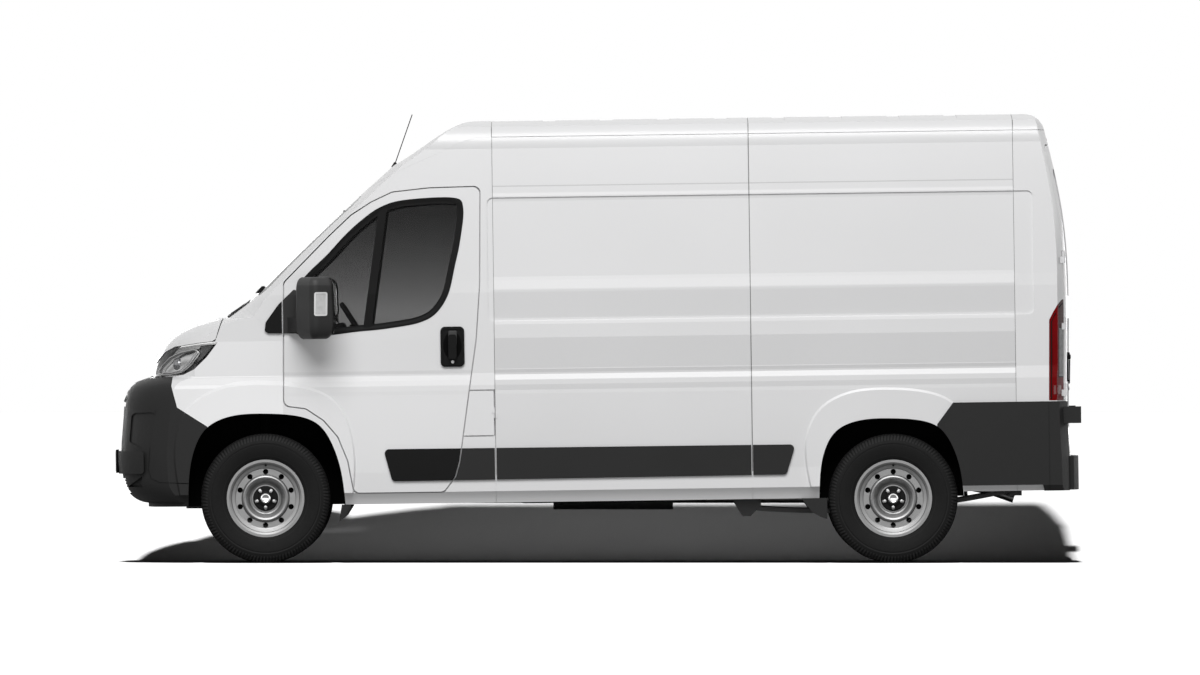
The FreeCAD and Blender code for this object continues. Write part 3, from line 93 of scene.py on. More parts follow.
class Look:
    # One procedural material, with a single method for any node
    def __init__(self, name, settings):
        self.material = bpy.data.materials.new(name)
        self.material.use_nodes = True
        self.tree = self.material.node_tree
        self.shader = self.tree.nodes["Principled BSDF"]
        self.output = self.tree.nodes["Material Output"]
        for socket, value in settings.items():
            self.shader.inputs[socket].default_value = value

    def node(self, kind, settings=None, inputs=None):
        made = self.tree.nodes.new(kind)
        for name, value in (settings or {}).items():
            setattr(made, name, value)
        for name, value in (inputs or {}).items():
            self.feed(made.inputs[name], value)
        return made

    def feed(self, socket, value):
        if isinstance(value, Value):
            self.tree.links.new(value.socket, socket)
        elif isinstance(value, bpy.types.NodeSocket):
            self.tree.links.new(value, socket)
        else:
            socket.default_value = value

    def drive(self, socket, value):
        self.feed(self.shader.inputs[socket], value)

    def place(self):
        return self.node("ShaderNodeTexCoord").outputs["Object"]

    def axes(self):
        split = self.node("ShaderNodeSeparateXYZ", None, {0: self.place()})
        return [Value(self, split.outputs[i]) for i in range(3)]

    def noise(self, scale, detail=3.0, stretch=None):
        where = self.place()
        if stretch:
            where = self.node("ShaderNodeMapping", None, {"Vector": where, "Scale": stretch}).outputs[0]
        made = self.node("ShaderNodeTexNoise", None, {"Vector": where, "Scale": scale, "Detail": detail})
        return Value(self, made.outputs["Fac"])

    def blend(self, factor, first, second):
        made = self.node("ShaderNodeMix", {"data_type": "RGBA"}, {"Factor": factor, "A": first, "B": second})
        return made.outputs["Result"]

    def wave(self, direction, scale):
        made = self.node("ShaderNodeTexWave", {"bands_direction": direction},
                         {"Vector": self.place(), "Scale": scale})
        return Value(self, made.outputs["Fac"])

    def bump(self, height, strength, distance, under=None):
        # Bumps may stand one on another
        sockets = {"Height": height, "Strength": strength, "Distance": distance}
        if under:
            sockets["Normal"] = under
        made = self.node("ShaderNodeBump", None, sockets)
        self.drive("Normal", made.outputs[0])
        return made.outputs[0]


def grey(value, tint=0.0):
    return (value, value, value + tint, 1.0)


def paintLook(name="white paint", seams=(), shadedCreases=(), leans=()):
    # White enamel; a side panel's own seams and pressed creases are lines in its raked directions, the seams
    # dark joints and the creases darkened as painted shade
    look = Look(name, {"Roughness": 0.34, "Coat Weight": 0.2, "Coat Roughness": 0.16,
                       "Specular IOR Level": 0.4})
    shade = look.blend(look.noise(1.3, 2.0), grey(0.72, 0.004), grey(0.76, 0.006))
    height = look.noise(900.0, 1.0) * 0.02
    x, y, z = look.axes()
    along = x * math.cos(rake) + z * math.sin(rake)
    up = z * math.cos(rake) - x * math.sin(rake)
    for place, low, high in seams:
        span = (up > low) * (up < high)
        line = (along > place - 0.0022) * (along < place + 0.0022) * span
        shade = look.blend(line, shade, grey(0.16))
        height = height - line
    for place, front, back in shadedCreases:
        span = (along > front) * (along < back)
        line = (up > place - 0.003) * (up < place + 0.003) * span
        # Painted shade: each crease line is darkened in colour, as a groove is under light from above
        shade = look.blend(line * 0.35, shade, grey(0.30))
        height = height - line * 0.6
    look.drive("Base Color", shade)
    slow = None
    if leans:
        # The pressing's slow leans, in or out by height
        form = look.noise(0.7, 0.0) * 0.002
        for low, high, lean in leans:
            form = form + up.held(low, high) * lean
        slow = look.bump(form, 1.0, 1.0)
    look.bump(height, 0.5, 0.0015, slow)
    return look.material


def plasticLook(name, dark, light, rough, grain=1400.0, strength=0.25, coat=0.0):
    look = Look(name, {"Specular IOR Level": 0.06, "Coat Weight": coat})
    look.drive("Base Color", look.blend(look.noise(2.2, 4.0), dark, light))
    look.drive("Roughness", look.noise(40.0) * 0.12 + rough)
    look.bump(look.noise(grain, 2.0), strength, 0.0006)
    return look.material


def metalLook(name, colour, rough, metallic=0.9, grain=60.0):
    look = Look(name, {"Metallic": metallic})
    worn = grey(colour[0] * 0.86)
    look.drive("Base Color", look.blend(look.noise(6.0, 5.0), colour, worn))
    look.drive("Roughness", look.noise(grain, 4.0) * 0.14 + rough)
    look.bump(look.noise(grain * 6, 2.0), 0.08, 0.0004)
    return look.material


def glassLook(name, colour, amount, rough=0.02, band=None):
    # Thin tinted glass with a mirror sheen that grows at grazing angles, and darker by height if asked
    look = Look(name, {"Base Color": grey(0.02), "Roughness": rough, "Specular IOR Level": 0.6})
    tint = colour
    if band:
        low, high, deep = band
        x, y, z = look.axes()
        share = ((z - low) * (1 / (high - low))).held(0.0, 1.0)
        tint = look.blend(share, colour, deep)
    clear = look.node("ShaderNodeBsdfTransparent", None, {"Color": tint})
    fade = look.node("ShaderNodeLayerWeight", None, {"Blend": 0.35})
    haze = look.noise(3.0) * 0.05
    factor = Value(look, fade.outputs["Facing"]) * 0.35 + haze + amount
    mix = look.node("ShaderNodeMixShader", None, {0: factor, 1: clear.outputs[0], 2: look.shader.outputs[0]})
    look.feed(look.output.inputs["Surface"], mix.outputs[0])
    return look.material


def rubberLook(name="tyre rubber", axle=0.0):
    # Tyre rubber with a fine grain, tread blocks at the shoulder and faint rings on the side wall; the
    # grooves between the blocks are painted near black as painted shade, and the block faces and rings
    # painted lighter as painted highlights
    look = Look(name, {"Specular IOR Level": 0.15})
    x, y, z = look.axes()
    across, high = x - axle, z - axleHeight
    reach = (across * across + high * high).maths("SQRT", 0.0)
    turn = high.maths("ARCTAN2", across)
    blocks = (turn * 118.0 + reach * 60.0).maths("SINE", 0.0) > -0.15
    shoulder = (reach > 0.3235) * (reach < 0.352)
    ring = (reach > 0.3055) * (reach < 0.3085) + (reach > 0.236) * (reach < 0.238)
    shade = look.blend(look.noise(9.0, 5.0), grey(0.004), grey(0.008))
    # Painted highlight on the side wall's rings, then painted shade in the tread grooves against lighter
    # block faces
    shade = look.blend(ring, shade, grey(0.014))
    shade = look.blend(shoulder, shade, look.blend(blocks, grey(0.0012), grey(0.017)))
    look.drive("Base Color", shade)
    look.drive("Roughness", look.noise(70.0) * 0.15 + 0.62)
    look.bump(look.noise(700.0, 3.0) * 0.2 + blocks * shoulder + ring * 0.3, 0.4, 0.003)
    return look.material


def redLensLook():
    # Tail lamp by height: red with a clear and a smoked zone on the rear face, over fine flutes
    look = Look("tail lens", {"Roughness": 0.30, "Specular IOR Level": 0.03})
    x, y, z = look.axes()
    clear = (z > 1.041) * (z < 1.308) * (x > 2.567)
    rim = (z > 1.034) * (z < 1.314) * (x > 2.563)
    smoked = (z > 1.314) * (x > 2.562)
    red = look.blend(look.noise(14.0), (0.13, 0.002, 0.003, 1), (0.18, 0.004, 0.005, 1))
    deep = look.blend(smoked, red, (0.045, 0.004, 0.004, 1))
    deep = look.blend(rim, deep, grey(0.02))
    bright = look.blend(look.noise(55.0), grey(0.12), grey(0.55))
    look.drive("Base Color", look.blend(clear, deep, bright))
    look.bump(look.wave("Z", 40.0), 0.25, 0.0015)
    return look.material


def clothLook():
    look = Look("seat cloth", {"Roughness": 0.9, "Sheen Weight": 0.3, "Specular IOR Level": 0.2})
    weave = look.noise(420.0, 3.0)
    look.drive("Base Color", look.blend(weave, grey(0.035, 0.004), grey(0.07, 0.006)))
    look.bump(look.noise(900.0, 2.0), 0.5, 0.0012)
    return look.material


looks = {
    "white_paint": paintLook(),
    "grey_plastic": plasticLook("grey plastic", grey(0.027), grey(0.033), 0.50),
    "black_plastic": plasticLook("black plastic", grey(0.008), grey(0.012), 0.42),
    "grey_steel": metalLook("chassis paint", grey(0.06), 0.45, 0.2),
    "clear_glass": glassLook("tinted glass", grey(0.66), 0.08, 0.02, (1.40, 1.95, grey(0.40))),
    "lamp_glass": glassLook("lamp glass", grey(0.90), 0.05),
    "red_lens": redLensLook(),
    "silver_wheel": metalLook("wheel silver", grey(0.27), 0.36, 0.9),
    "tyre_rubber": rubberLook(),
    "bare_steel": metalLook("bare steel", grey(0.42), 0.32),
    "cast_grey": metalLook("cast iron", grey(0.12), 0.55, 0.6, 30.0),
    "seat_cloth": clothLook(),
}

# Low and high edge of each pressed zone, in metres, and how far it leans in
sideLeans = ((0.52, 0.95, 0.06), (0.97, 1.026, 0.15), (1.028, 1.056, -0.16), (1.058, 1.085, 0.24),
             (1.09, 1.26, 0.15))
doorLeans = ((0.52, 0.95, -0.05), (0.97, 1.026, -0.05), (1.028, 1.056, -0.08), (1.058, 1.085, 0.12),
             (1.09, 1.26, 0.02))
wingLeans = ((0.52, 1.02, -0.17), (1.022, 1.058, -0.08), (1.062, 1.26, -0.15))
highLeans = ((1.335, 1.358, -0.16), (1.370, 1.526, 0.13), (1.532, 1.60, -0.10), (2.02, 2.040, 0.15),
             (2.05, 2.066, -0.10))
upright = (-0.561, 0.868, 2.340)
# The crease at 2.104 m is painted darker along its line as painted shade
sidePaint = paintLook("side paint", [(x, low, 2.40) for x, low in zip(upright, (0.50, 0.50, 0.60))],
                      [(2.104, -0.56, 2.40)], sideLeans + highLeans)
doorPaint = paintLook("door paint", leans=doorLeans)
wingPaint = paintLook("wing paint", leans=wingLeans)
roofPaint = paintLook("roof paint", [(x, 1.8, 2.60) for x in upright])
chrome = metalLook("lamp reflector", grey(0.75), 0.12, 1.0)
smoke = metalLook("lamp housing", grey(0.10), 0.30, 0.7)
mirrorFace = metalLook("mirror face", grey(0.80), 0.03, 1.0)
# Near black, darker than black plastic: partly the arch liners' own black felt, partly painted shade on the
# knuckles inside the arches and in the handle scoops
feltAndShadeLook = plasticLook("arch felt and painted shade", grey(0.0025), grey(0.004), 0.85, 500.0, 0.5)
plateWhite = plasticLook("plate white", grey(0.70), grey(0.74), 0.35)
gripLook = plasticLook("grip plastic", grey(0.050), grey(0.060), 0.45)
black = looks["black_plastic"]
steel = looks["bare_steel"]
cloth = looks["seat_cloth"]


def dressNodes():
    slotOf = {row["node"]: row["material_slot"] for row in frame["record"]["subparts"]}
    for name, node in nodes.items():
        material = looks[slotOf[name]]
        if not node.material_slots:
            node.data.materials.append(material)
        for slot in node.material_slots:
            slot.material = material
    # The knuckles take the near-black arch look as painted shade inside the arches
    own = {sidePaint: ("side_panel_left", "side_panel_right", "sliding_door"),
           doorPaint: ("front_door_left", "front_door_right"), wingPaint: ("wing_left", "wing_right"),
           roofPaint: ("roof",), feltAndShadeLook: ("arch_liners", "knuckle_left", "knuckle_right")}
    for material, names in own.items():
        for name in names:
            nodes[name].material_slots[0].material = material


dressNodes()
print("materials made:", len(bpy.data.materials))


# Ways of making pieces

def toWorld(x, y, z):
    # A point of the body's own frame, in millimetres, as metres in the level frame
    along = x * math.cos(rake) - z * math.sin(rake)
    up = z * math.cos(rake) + x * math.sin(rake)
    return Vector((along, y, up)) / 1000


def aft(distance, up=0.0):
    # A step towards the back of the van
    return Vector((distance, 0, up))


def active(piece):
    bpy.ops.object.select_all(action="DESELECT")
    piece.select_set(True)
    bpy.context.view_layer.objects.active = piece


def edit(piece, select="SELECT"):
    active(piece)
    bpy.ops.object.mode_set(mode="EDIT")
    bpy.ops.mesh.select_mode(type="VERT")
    bpy.ops.mesh.select_all(action=select)


def done():
    bpy.ops.object.mode_set(mode="OBJECT")


def settle(piece):
    # Applies modifiers and the object's own place, so that the mesh holds everything
    active(piece)
    for modifier in list(piece.modifiers):
        bpy.ops.object.modifier_apply(modifier=modifier.name)
    bpy.ops.object.transform_apply(location=True, rotation=True, scale=True)
    return piece


def finish(piece, name, material, body="body", smooth=40, slot=None):
    settle(piece)
    piece.name = name
    piece.data.name = name
    piece.data.materials.clear()
    piece.data.materials.append(material)
    active(piece)
    bpy.ops.object.shade_smooth_by_angle(angle=math.radians(smooth))
    settle(piece)
    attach(piece, body)
    return piece


def bevelled(piece, width, segments=2):
    modifier = piece.modifiers.new("bevel", "BEVEL")
    modifier.width = width
    modifier.segments = segments
    modifier.limit_method = "ANGLE"
    return settle(piece)


def cuboid(size, centre=(0, 0, 0), bevel=0.0, segments=2, turn=(0, 0, 0)):
    bpy.ops.mesh.primitive_cube_add(size=1, location=centre, rotation=turn)
    piece = bpy.context.object
    piece.scale = size
    settle(piece)
    return bevelled(piece, bevel, segments) if bevel else piece


def outlineWire(points):
    # An open run of edges through points, drawn by extruding one vertex
    bpy.ops.mesh.primitive_plane_add(size=1, location=(0, 0, 0))
    piece = bpy.context.object
    edit(piece)
    bpy.ops.mesh.merge(type="CENTER")
    bpy.ops.transform.translate(value=points[0])
    for before, after in zip(points, points[1:]):
        bpy.ops.mesh.extrude_region_move(TRANSFORM_OT_translate={"value": Vector(after) - Vector(before)})
    done()
    return piece


def lathe(profile, steps, axis=(0, 1, 0)):
    # Spins an outline of radius and height about the Y axis
    piece = outlineWire([Vector((r, y, 0)) for r, y in profile])
    edit(piece)
    bpy.ops.mesh.spin(steps=steps, angle=2 * math.pi, center=(0, 0, 0), axis=axis)
    bpy.ops.mesh.select_all(action="SELECT")
    bpy.ops.mesh.remove_doubles(threshold=0.00005)
    bpy.ops.mesh.normals_make_consistent(inside=False)
    done()
    return piece


level = (0, rake, 0)


def ringOf(piece, count, axis="Y"):
    # Repeats a piece round an axis through the origin with an array
    bpy.ops.object.empty_add(location=(0, 0, 0))
    pivot = bpy.context.object
    pivot.rotation_euler["XYZ".index(axis)] = 2 * math.pi / count
    modifier = piece.modifiers.new("ring", "ARRAY")
    modifier.count = count
    modifier.use_relative_offset = False
    modifier.use_object_offset = True
    modifier.offset_object = pivot
    settle(piece)
    bpy.data.objects.remove(pivot)
    return piece


def joined(pieces):
    bpy.ops.object.select_all(action="DESELECT")
    for piece in pieces:
        piece.select_set(True)
    bpy.context.view_layer.objects.active = pieces[0]
    bpy.ops.object.join()
    return bpy.context.object


def moved(piece, place, turn=None):
    if turn:
        piece.data.transform(turn)
    piece.data.transform(Matrix.Translation(place))
    return piece


def copyOf(piece):
    twin = piece.copy()
    twin.data = piece.data.copy()
    bpy.context.collection.objects.link(twin)
    twin.parent = None
    return twin


def sheet(rows, outward=None):
    # A grid whose points are moved on to rows of places; outward is a point that its face looks at
    bpy.ops.mesh.primitive_grid_add(x_subdivisions=len(rows[0]) - 1, y_subdivisions=len(rows) - 1, size=1)
    piece = bpy.context.object
    piece.data.vertices.foreach_set("co", [value for row in rows for place in row for value in place])
    edit(piece)
    bpy.ops.mesh.remove_doubles(threshold=0.00002)
    bpy.ops.mesh.normals_make_consistent(inside=False)
    done()
    if outward is not None:
        total = sum((face.normal * face.area for face in piece.data.polygons), Vector())
        if total.dot(Vector(outward)) < 0:
            piece.data.flip_normals()
    return piece


def thick(piece, depth, offset=-1.0):
    modifier = piece.modifiers.new("thick", "SOLIDIFY")
    modifier.thickness = depth
    modifier.offset = offset
    return settle(piece)


def tube(path, radius, sides=12):
    # A round bar through a run of points, closed at both ends
    rows = []
    for i, here in enumerate(path):
        along = (path[min(i + 1, len(path) - 1)] - path[max(i - 1, 0)]).normalized()
        guide = Vector((0, 0, 1)) if abs(along.z) < 0.9 else Vector((1, 0, 0))
        across = along.cross(guide).normalized()
        up = across.cross(along)
        turns = [2 * math.pi * k / sides for k in range(sides + 1)]
        rows.append([here + (across * math.cos(t) + up * math.sin(t)) * radius for t in turns])
    piece = sheet(rows)
    edit(piece)
    bpy.ops.mesh.fill_holes(sides=0)
    bpy.ops.mesh.normals_make_consistent(inside=False)
    done()
    return piece


def rounded(points, radius, steps=5):
    # A closed outline with its corners rounded, as pairs
    out = []
    count = len(points)
    for i, here in enumerate(points):
        here = Vector(here)
        before = Vector(points[i - 1]) - here
        after = Vector(points[(i + 1) % count]) - here
        bend = before.angle(after)
        reach = min(radius / math.tan(bend / 2), before.length * 0.45, after.length * 0.45)
        first = here + before.normalized() * reach
        last = here + after.normalized() * reach
        for k in range(steps + 1):
            t = k / steps
            out.append(first * (1 - t) ** 2 + here * 2 * t * (1 - t) + last * t ** 2)
    return out


def oblong(low, high, bottom, top):
    # The four corners of an upright rectangle
    return [(low, bottom), (high, bottom), (high, top), (low, top)]


def resampled(points, step):
    # Evenly spaced points along a closed outline
    out = []
    for i, here in enumerate(points):
        there = points[(i + 1) % len(points)]
        count = max(1, round((there - here).length / step))
        out += [here + (there - here) * (k / count) for k in range(count)]
    return out


def inset(points, size):
    # The same outline drawn in by size, whichever way it runs
    area = sum(points[i - 1].x * p.y - p.x * points[i - 1].y for i, p in enumerate(points))
    sign = 1 if area > 0 else -1
    out = []
    for i, here in enumerate(points):
        along = (points[(i + 1) % len(points)] - points[i - 1]).normalized()
        out.append(here + Vector((-along.y, along.x)) * sign * size)
    return out


def shoot(node, start, way):
    # Where a ray meets a CAD node, with the surface's direction towards the ray's start
    found, place, normal, face = nodes[node].ray_cast(Vector(start), Vector(way))
    if not found:
        return None, None
    return place, (normal if normal.dot(Vector(way)) < 0 else -normal)


def lifted(hit, lift):
    place, normal = hit
    return place + normal * lift if place is not None else None


def onSide(node, x, z, side, lift=0.0):
    # A point on the side of the van, in the body's own frame in millimetres
    return lifted(shoot(node, toWorld(x, side * 2000, z), (0, -side, 0)), lift)


def onFront(node, y, z, lift=0.0):
    return lifted(shoot(node, toWorld(-4000, y, z), toWorld(1, 0, 0) * 1000), lift)


def onRear(node, y, z, lift=0.0):
    return lifted(shoot(node, toWorld(4000, y, z), toWorld(-1, 0, 0) * 1000), lift)


def onTop(node, x, y, lift=0.0):
    return lifted(shoot(node, toWorld(x, y, 4000), toWorld(0, 0, -1) * 1000), lift)


def mended(row):
    # Fills places that a ray missed by drawing straight on between their neighbours, round a loop
    count = len(row)
    out = list(row)
    for i, place in enumerate(row):
        if place is None:
            back = next((k for k in range(1, count) if row[i - k] is not None), None)
            ahead = next((k for k in range(1, count) if row[(i + k) % count] is not None), None)
            if back is None:
                raise RuntimeError("no ray of a loop met its node")
            out[i] = row[i - back].lerp(row[(i + ahead) % count], back / (back + ahead))
    return out


def border(find, outline, width, lift, name, material, body, towards, depth=0.0012, probe=3.0,
           steps=1):
    # A flat band along the inside of an outline, laid on a surface found by rays
    rows = []
    for k in range(steps + 1):
        loop = inset(outline, probe + (width - probe) * k / steps)
        row = mended([find(p.x, p.y, lift) for p in loop])
        rows.append(row + row[:1])
    piece = thick(sheet(rows, towards), depth, 0.0)
    return finish(piece, name, material, body)


# Stage, lights and camera

scale = {"x": 0.011, "z": 1.2555, "width": 6.696, "lens": 860.0, "plane": -0.55}
floorLook = {"back": 1.15, "slope": 0.32, "rise": 0.62, "far": 60.0, "near": -70.0, "half": 45.0}
suns = {
    "key_light": {"elevation": 44.0, "swing": 6.0, "strength": 2.2, "angle": 40.0},
    "back_light": {"elevation": 10.0, "swing": 222.0, "strength": 0.30, "angle": 8.0},
    "floor_light": {"elevation": 58.0, "swing": 3.0, "strength": 6.2, "angle": 3.0},
}
softboxes = {
    "side_light": {"place": (0, -6.0, 6.5), "size": (9, 2.5), "power": 150},
    "low_light": {"place": (-0.5, -7.0, 0.75), "size": (11, 1.1), "power": 55},
    "right_light": {"place": (0, 7.0, 1.2), "size": (9, 1.6), "power": 200},
    "nose_light": {"place": (-9, -3, 3), "size": (3, 4), "power": 45},
    "tail_light": {"place": (9, -2, 3), "size": (3, 4), "power": 14},
}


def makeStage():
    # The floor is level under the van and climbs gently behind it, as a studio cove does
    low, rise, half = floorLook["back"], floorLook["rise"], floorLook["half"]
    run = rise / floorLook["slope"]
    ys = [(floorLook["near"], 0.0), (low, 0.0)]
    ys += [(low + run * k / 8, rise * (k / 8) ** 1.15) for k in range(1, 9)]
    ys += [(low + run + 1.5, rise + 0.05), (floorLook["far"], rise + 0.05)]
    rows = [[Vector((x, y, z)) for x in (-half, 0, half)] for y, z in ys]
    floor = sheet(rows, (0, 0, 1))
    floor.name = "studio_floor"
    look = Look("floor", {})
    pale = look.blend(look.noise(0.4), grey(0.62), grey(0.635))
    shade = look.blend(look.noise(0.4), grey(0.128), grey(0.138))
    path = look.node("ShaderNodeLightPath")
    seen = look.blend(path.outputs["Is Camera Ray"], shade, pale)
    matt = look.node("ShaderNodeBsdfDiffuse", None, {"Color": seen})
    look.feed(look.output.inputs["Surface"], matt.outputs[0])
    floor.data.materials.append(look.material)
    active(floor)
    bpy.ops.object.shade_smooth()

    world = bpy.data.worlds.new("studio")
    bpy.context.scene.world = world
    world.use_nodes = True
    tree = world.node_tree
    lamp, seen = tree.nodes["Background"], tree.nodes.new("ShaderNodeBackground")
    for shade in (lamp, seen):
        shade.inputs["Color"].default_value = (1, 1, 1, 1)
    lamp.inputs["Strength"].default_value = 0.012
    path = tree.nodes.new("ShaderNodeLightPath")
    mix = tree.nodes.new("ShaderNodeMixShader")
    shown = path.outputs["Is Camera Ray"]
    for kind in ("Is Glossy Ray", "Is Transmission Ray"):
        most = tree.nodes.new("ShaderNodeMath")
        most.operation = "MAXIMUM"
        tree.links.new(shown, most.inputs[0])
        tree.links.new(path.outputs[kind], most.inputs[1])
        shown = most.outputs[0]
    for i, socket in enumerate((shown, lamp.outputs[0], seen.outputs[0])):
        tree.links.new(socket, mix.inputs[i])
    tree.links.new(mix.outputs[0], tree.nodes["World Output"].inputs["Surface"])


def lit(lamp, alone):
    # The floor has a sun of its own, and the other lights leave it to that one
    group = bpy.data.collections.new("light_" + lamp.name)
    group.objects.link(bpy.data.objects["studio_floor"])
    group.collection_objects[0].light_linking.link_state = "INCLUDE" if alone else "EXCLUDE"
    lamp.light_linking.receiver_collection = group


def makeLights():
    for name, lamp in suns.items():
        high = math.radians(lamp["elevation"])
        swing = math.radians(lamp["swing"])
        way = Vector((math.sin(swing) * math.cos(high), math.cos(swing) * math.cos(high), -math.sin(high)))
        bpy.ops.object.light_add(type="SUN", location=-way * 12)
        sun = bpy.context.object
        sun.name = name
        sun.rotation_euler = way.to_track_quat("-Z", "Y").to_euler()
        sun.data.energy = lamp["strength"]
        sun.data.angle = math.radians(lamp["angle"])
        lit(sun, name == "floor_light")
    for name, box in softboxes.items():
        bpy.ops.object.light_add(type="AREA", location=box["place"])
        lamp = bpy.context.object
        lamp.name = name
        lamp.rotation_euler = (Vector((0, 0, 1.2)) - Vector(box["place"])).to_track_quat("-Z", "Y").to_euler()
        lamp.data.shape = "RECTANGLE"
        lamp.data.size, lamp.data.size_y = box["size"]
        lamp.data.energy = box["power"]
        lit(lamp, False)


def makeCamera():
    reach = scale["lens"] * scale["width"] / 36
    place = (scale["x"], scale["plane"] - reach, scale["z"])
    bpy.ops.object.camera_add(location=place, rotation=(math.pi / 2, 0, 0))
    camera = bpy.context.object
    camera.data.lens = scale["lens"]
    camera.data.sensor_width = 36
    camera.data.clip_end = reach * 3
    bpy.context.scene.camera = camera
    bpy.context.scene.view_settings.view_transform = "Standard"


makeStage()
makeLights()
makeCamera()
print("stage, lights and camera set")


# Wheels

wheelPlaces = {
    "front_left": (-1.850, -0.905), "front_right": (-1.850, 0.905),
    "rear_left": (1.643, -0.895), "rear_right": (1.643, 0.895),
}
tyre = {
    # Radius and half width, from the bead to the crown
    "half": [(207, 74), (213, 86), (226, 94), (246, 100), (268, 104), (288, 106.5), (298, 106.5),
             (300.5, 104.6), (307, 104.6), (309.5, 106), (322, 103.5), (333, 99), (342, 94), (350, 88.5),
             (355.5, 82), (358.2, 73), (359, 57), (351, 55.5), (351, 48), (359.3, 46.5), (359.7, 23),
             (351.5, 21.5), (351.5, 14), (359.9, 12.5), (360, 0)],
    "steps": 208, "shoulder": (336, 57), "tread": 358.5, "notch": 0.0045, "slit": 3,
}


def pick(piece, wanted):
    # Enters edit mode with the faces that pass a test
    edit(piece, "DESELECT")
    bpy.ops.mesh.select_mode(type="FACE")
    done()
    for face in piece.data.polygons:
        face.select = wanted(face)
    active(piece)
    bpy.ops.object.mode_set(mode="EDIT")


def makeTyre():
    outer = [(r / 1000, -y / 1000) for r, y in tyre["half"]]
    inner = [(r / 1000, y / 1000) for r, y in reversed(tyre["half"][:-1])]
    piece = lathe(outer + inner, tyre["steps"])
    step = 2 * math.pi / tyre["steps"]
    low, edge = tyre["shoulder"]

    def place(face):
        # Radius and half width in millimetres, and the number of the step round the axle
        x, y, z = face.center
        return math.hypot(x, z) * 1000, abs(y) * 1000, int(math.atan2(z, x) / step + tyre["steps"])

    def shoulder(face):
        r, y, turn = place(face)
        return r > low and y > edge and turn % 2 == 0

    def rib(face):
        r, y, turn = place(face)
        return r > tyre["tread"] and (24 < y < 45 or y < 11) and turn % tyre["slit"] == 0

    for wanted in (shoulder, rib):
        pick(piece, wanted)
        bpy.ops.mesh.extrude_region_shrink_fatten(TRANSFORM_OT_shrink_fatten={"value": -tyre["notch"]})
        done()
    return piece


wheel = {
    "emblem": [(0, -4.6), (0.019, -4.2), (0.0205, -5.2), (0.0265, -4.4), (0.028, 0)],
    "boltCircle": 0.049, "boltRadius": 0.0098, "boltDepth": 0.013, "bolts": 5, "cup": (0.0158, 0.0019),
    "valve": (0.184, 0.0042, 0.030),
}


def makeEmblem():
    return lathe([(r, y / 1000) for r, y in wheel["emblem"]], 64)


def circled(piece):
    # Five copies about the axle, the first turned half a step
    piece.data.transform(Matrix.Rotation(math.pi / wheel["bolts"], 4, "Y"))
    return ringOf(piece, wheel["bolts"])


def makeBolts():
    # Hexagon heads on round flanges
    radius, depth = wheel["boltRadius"], wheel["boltDepth"]
    parts = []
    for sides, size, high, back, bevel in ((6, radius, depth, 0, 0.0012),
                                           (28, radius * 1.32, 0.004, depth / 2, 0.0008)):
        bpy.ops.mesh.primitive_cylinder_add(vertices=sides, radius=size, depth=high, location=(0, back, 0),
                                            rotation=(math.pi / 2, 0, 0))
        parts.append(bevelled(settle(bpy.context.object), bevel))
    return circled(moved(joined(parts), (0, 0, wheel["boltCircle"])))


def makeCups():
    # Round collars about the bolts on the dark cover
    major, minor = wheel["cup"]
    bpy.ops.mesh.primitive_torus_add(major_radius=major, minor_radius=minor, major_segments=36,
                                     minor_segments=8, location=(0, 0, wheel["boltCircle"]),
                                     rotation=(math.pi / 2, 0, 0))
    return circled(settle(bpy.context.object))


def makeValve():
    r, size, length = wheel["valve"]
    profile = [(0, -length), (size * 0.7, -length), (size * 0.8, -length * 0.7), (size, -length * 0.66),
               (size, -length * 0.2), (size * 1.5, -length * 0.1), (size * 1.5, 0)]
    return moved(lathe(profile, 20), (0, 0, r))


def makeWheels():
    tread, emblem, bolts, cups, valve = makeTyre(), makeEmblem(), makeBolts(), makeCups(), makeValve()
    for corner, (x, y) in wheelPlaces.items():
        sign = -1 if y < 0 else 1
        turn = Matrix.Identity(4) if y < 0 else Matrix.Rotation(math.pi, 4, "Z")

        def face(node, across, up):
            # Where the outer face of the wheel lies beside the axle
            return shoot(node + corner, (x + across, y + sign, axleHeight + up), (0, -sign, 0))[0].y

        rest = face("hub_", 0, wheel["boltCircle"])
        rows = [(tread, y, "tyre_" + corner + "_tread", treadLooks[corner.split("_")[0]], 32, "tyre_rubber"),
                (emblem, face("hub_", 0, 0), "wheel_emblem_" + corner, chrome, 40, None),
                (bolts, rest + sign * 0.004, "wheel_bolts_" + corner, steel, 40, None),
                (cups, rest, "wheel_cups_" + corner, black, 40, None),
                (valve, face("rim_", 0.004, wheel["valve"][0]), "wheel_valve_" + corner, black, 40, None)]
        for part, depth, name, look, smooth, slot in rows:
            piece = moved(copyOf(part), (x, depth, axleHeight), turn)
            finish(piece, name, look, "wheel_" + corner, smooth, slot)
            if part is tread:
                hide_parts("tyre_" + corner)
    for piece in (tread, emblem, bolts, cups, valve):
        bpy.data.objects.remove(piece)


treadLooks = {"front": rubberLook("front tyre rubber", -1.850), "rear": rubberLook("rear tyre rubber", 1.643)}
makeWheels()
print("wheels made")


# Lamps

def patch(find, outline, lift, rings, towards):
    # A sheet that fills an outline, each of its points laid on a surface found by rays
    middle = sum(outline, Vector((0, 0))) / len(outline)
    rows = []
    for k in range(rings + 1):
        spots = [middle + (point - middle) * (1 - k / rings) for point in outline]
        row = mended([find(spot.x, spot.y, lift) for spot in spots])
        rows.append(row + row[:1])
    return sheet(rows, towards)


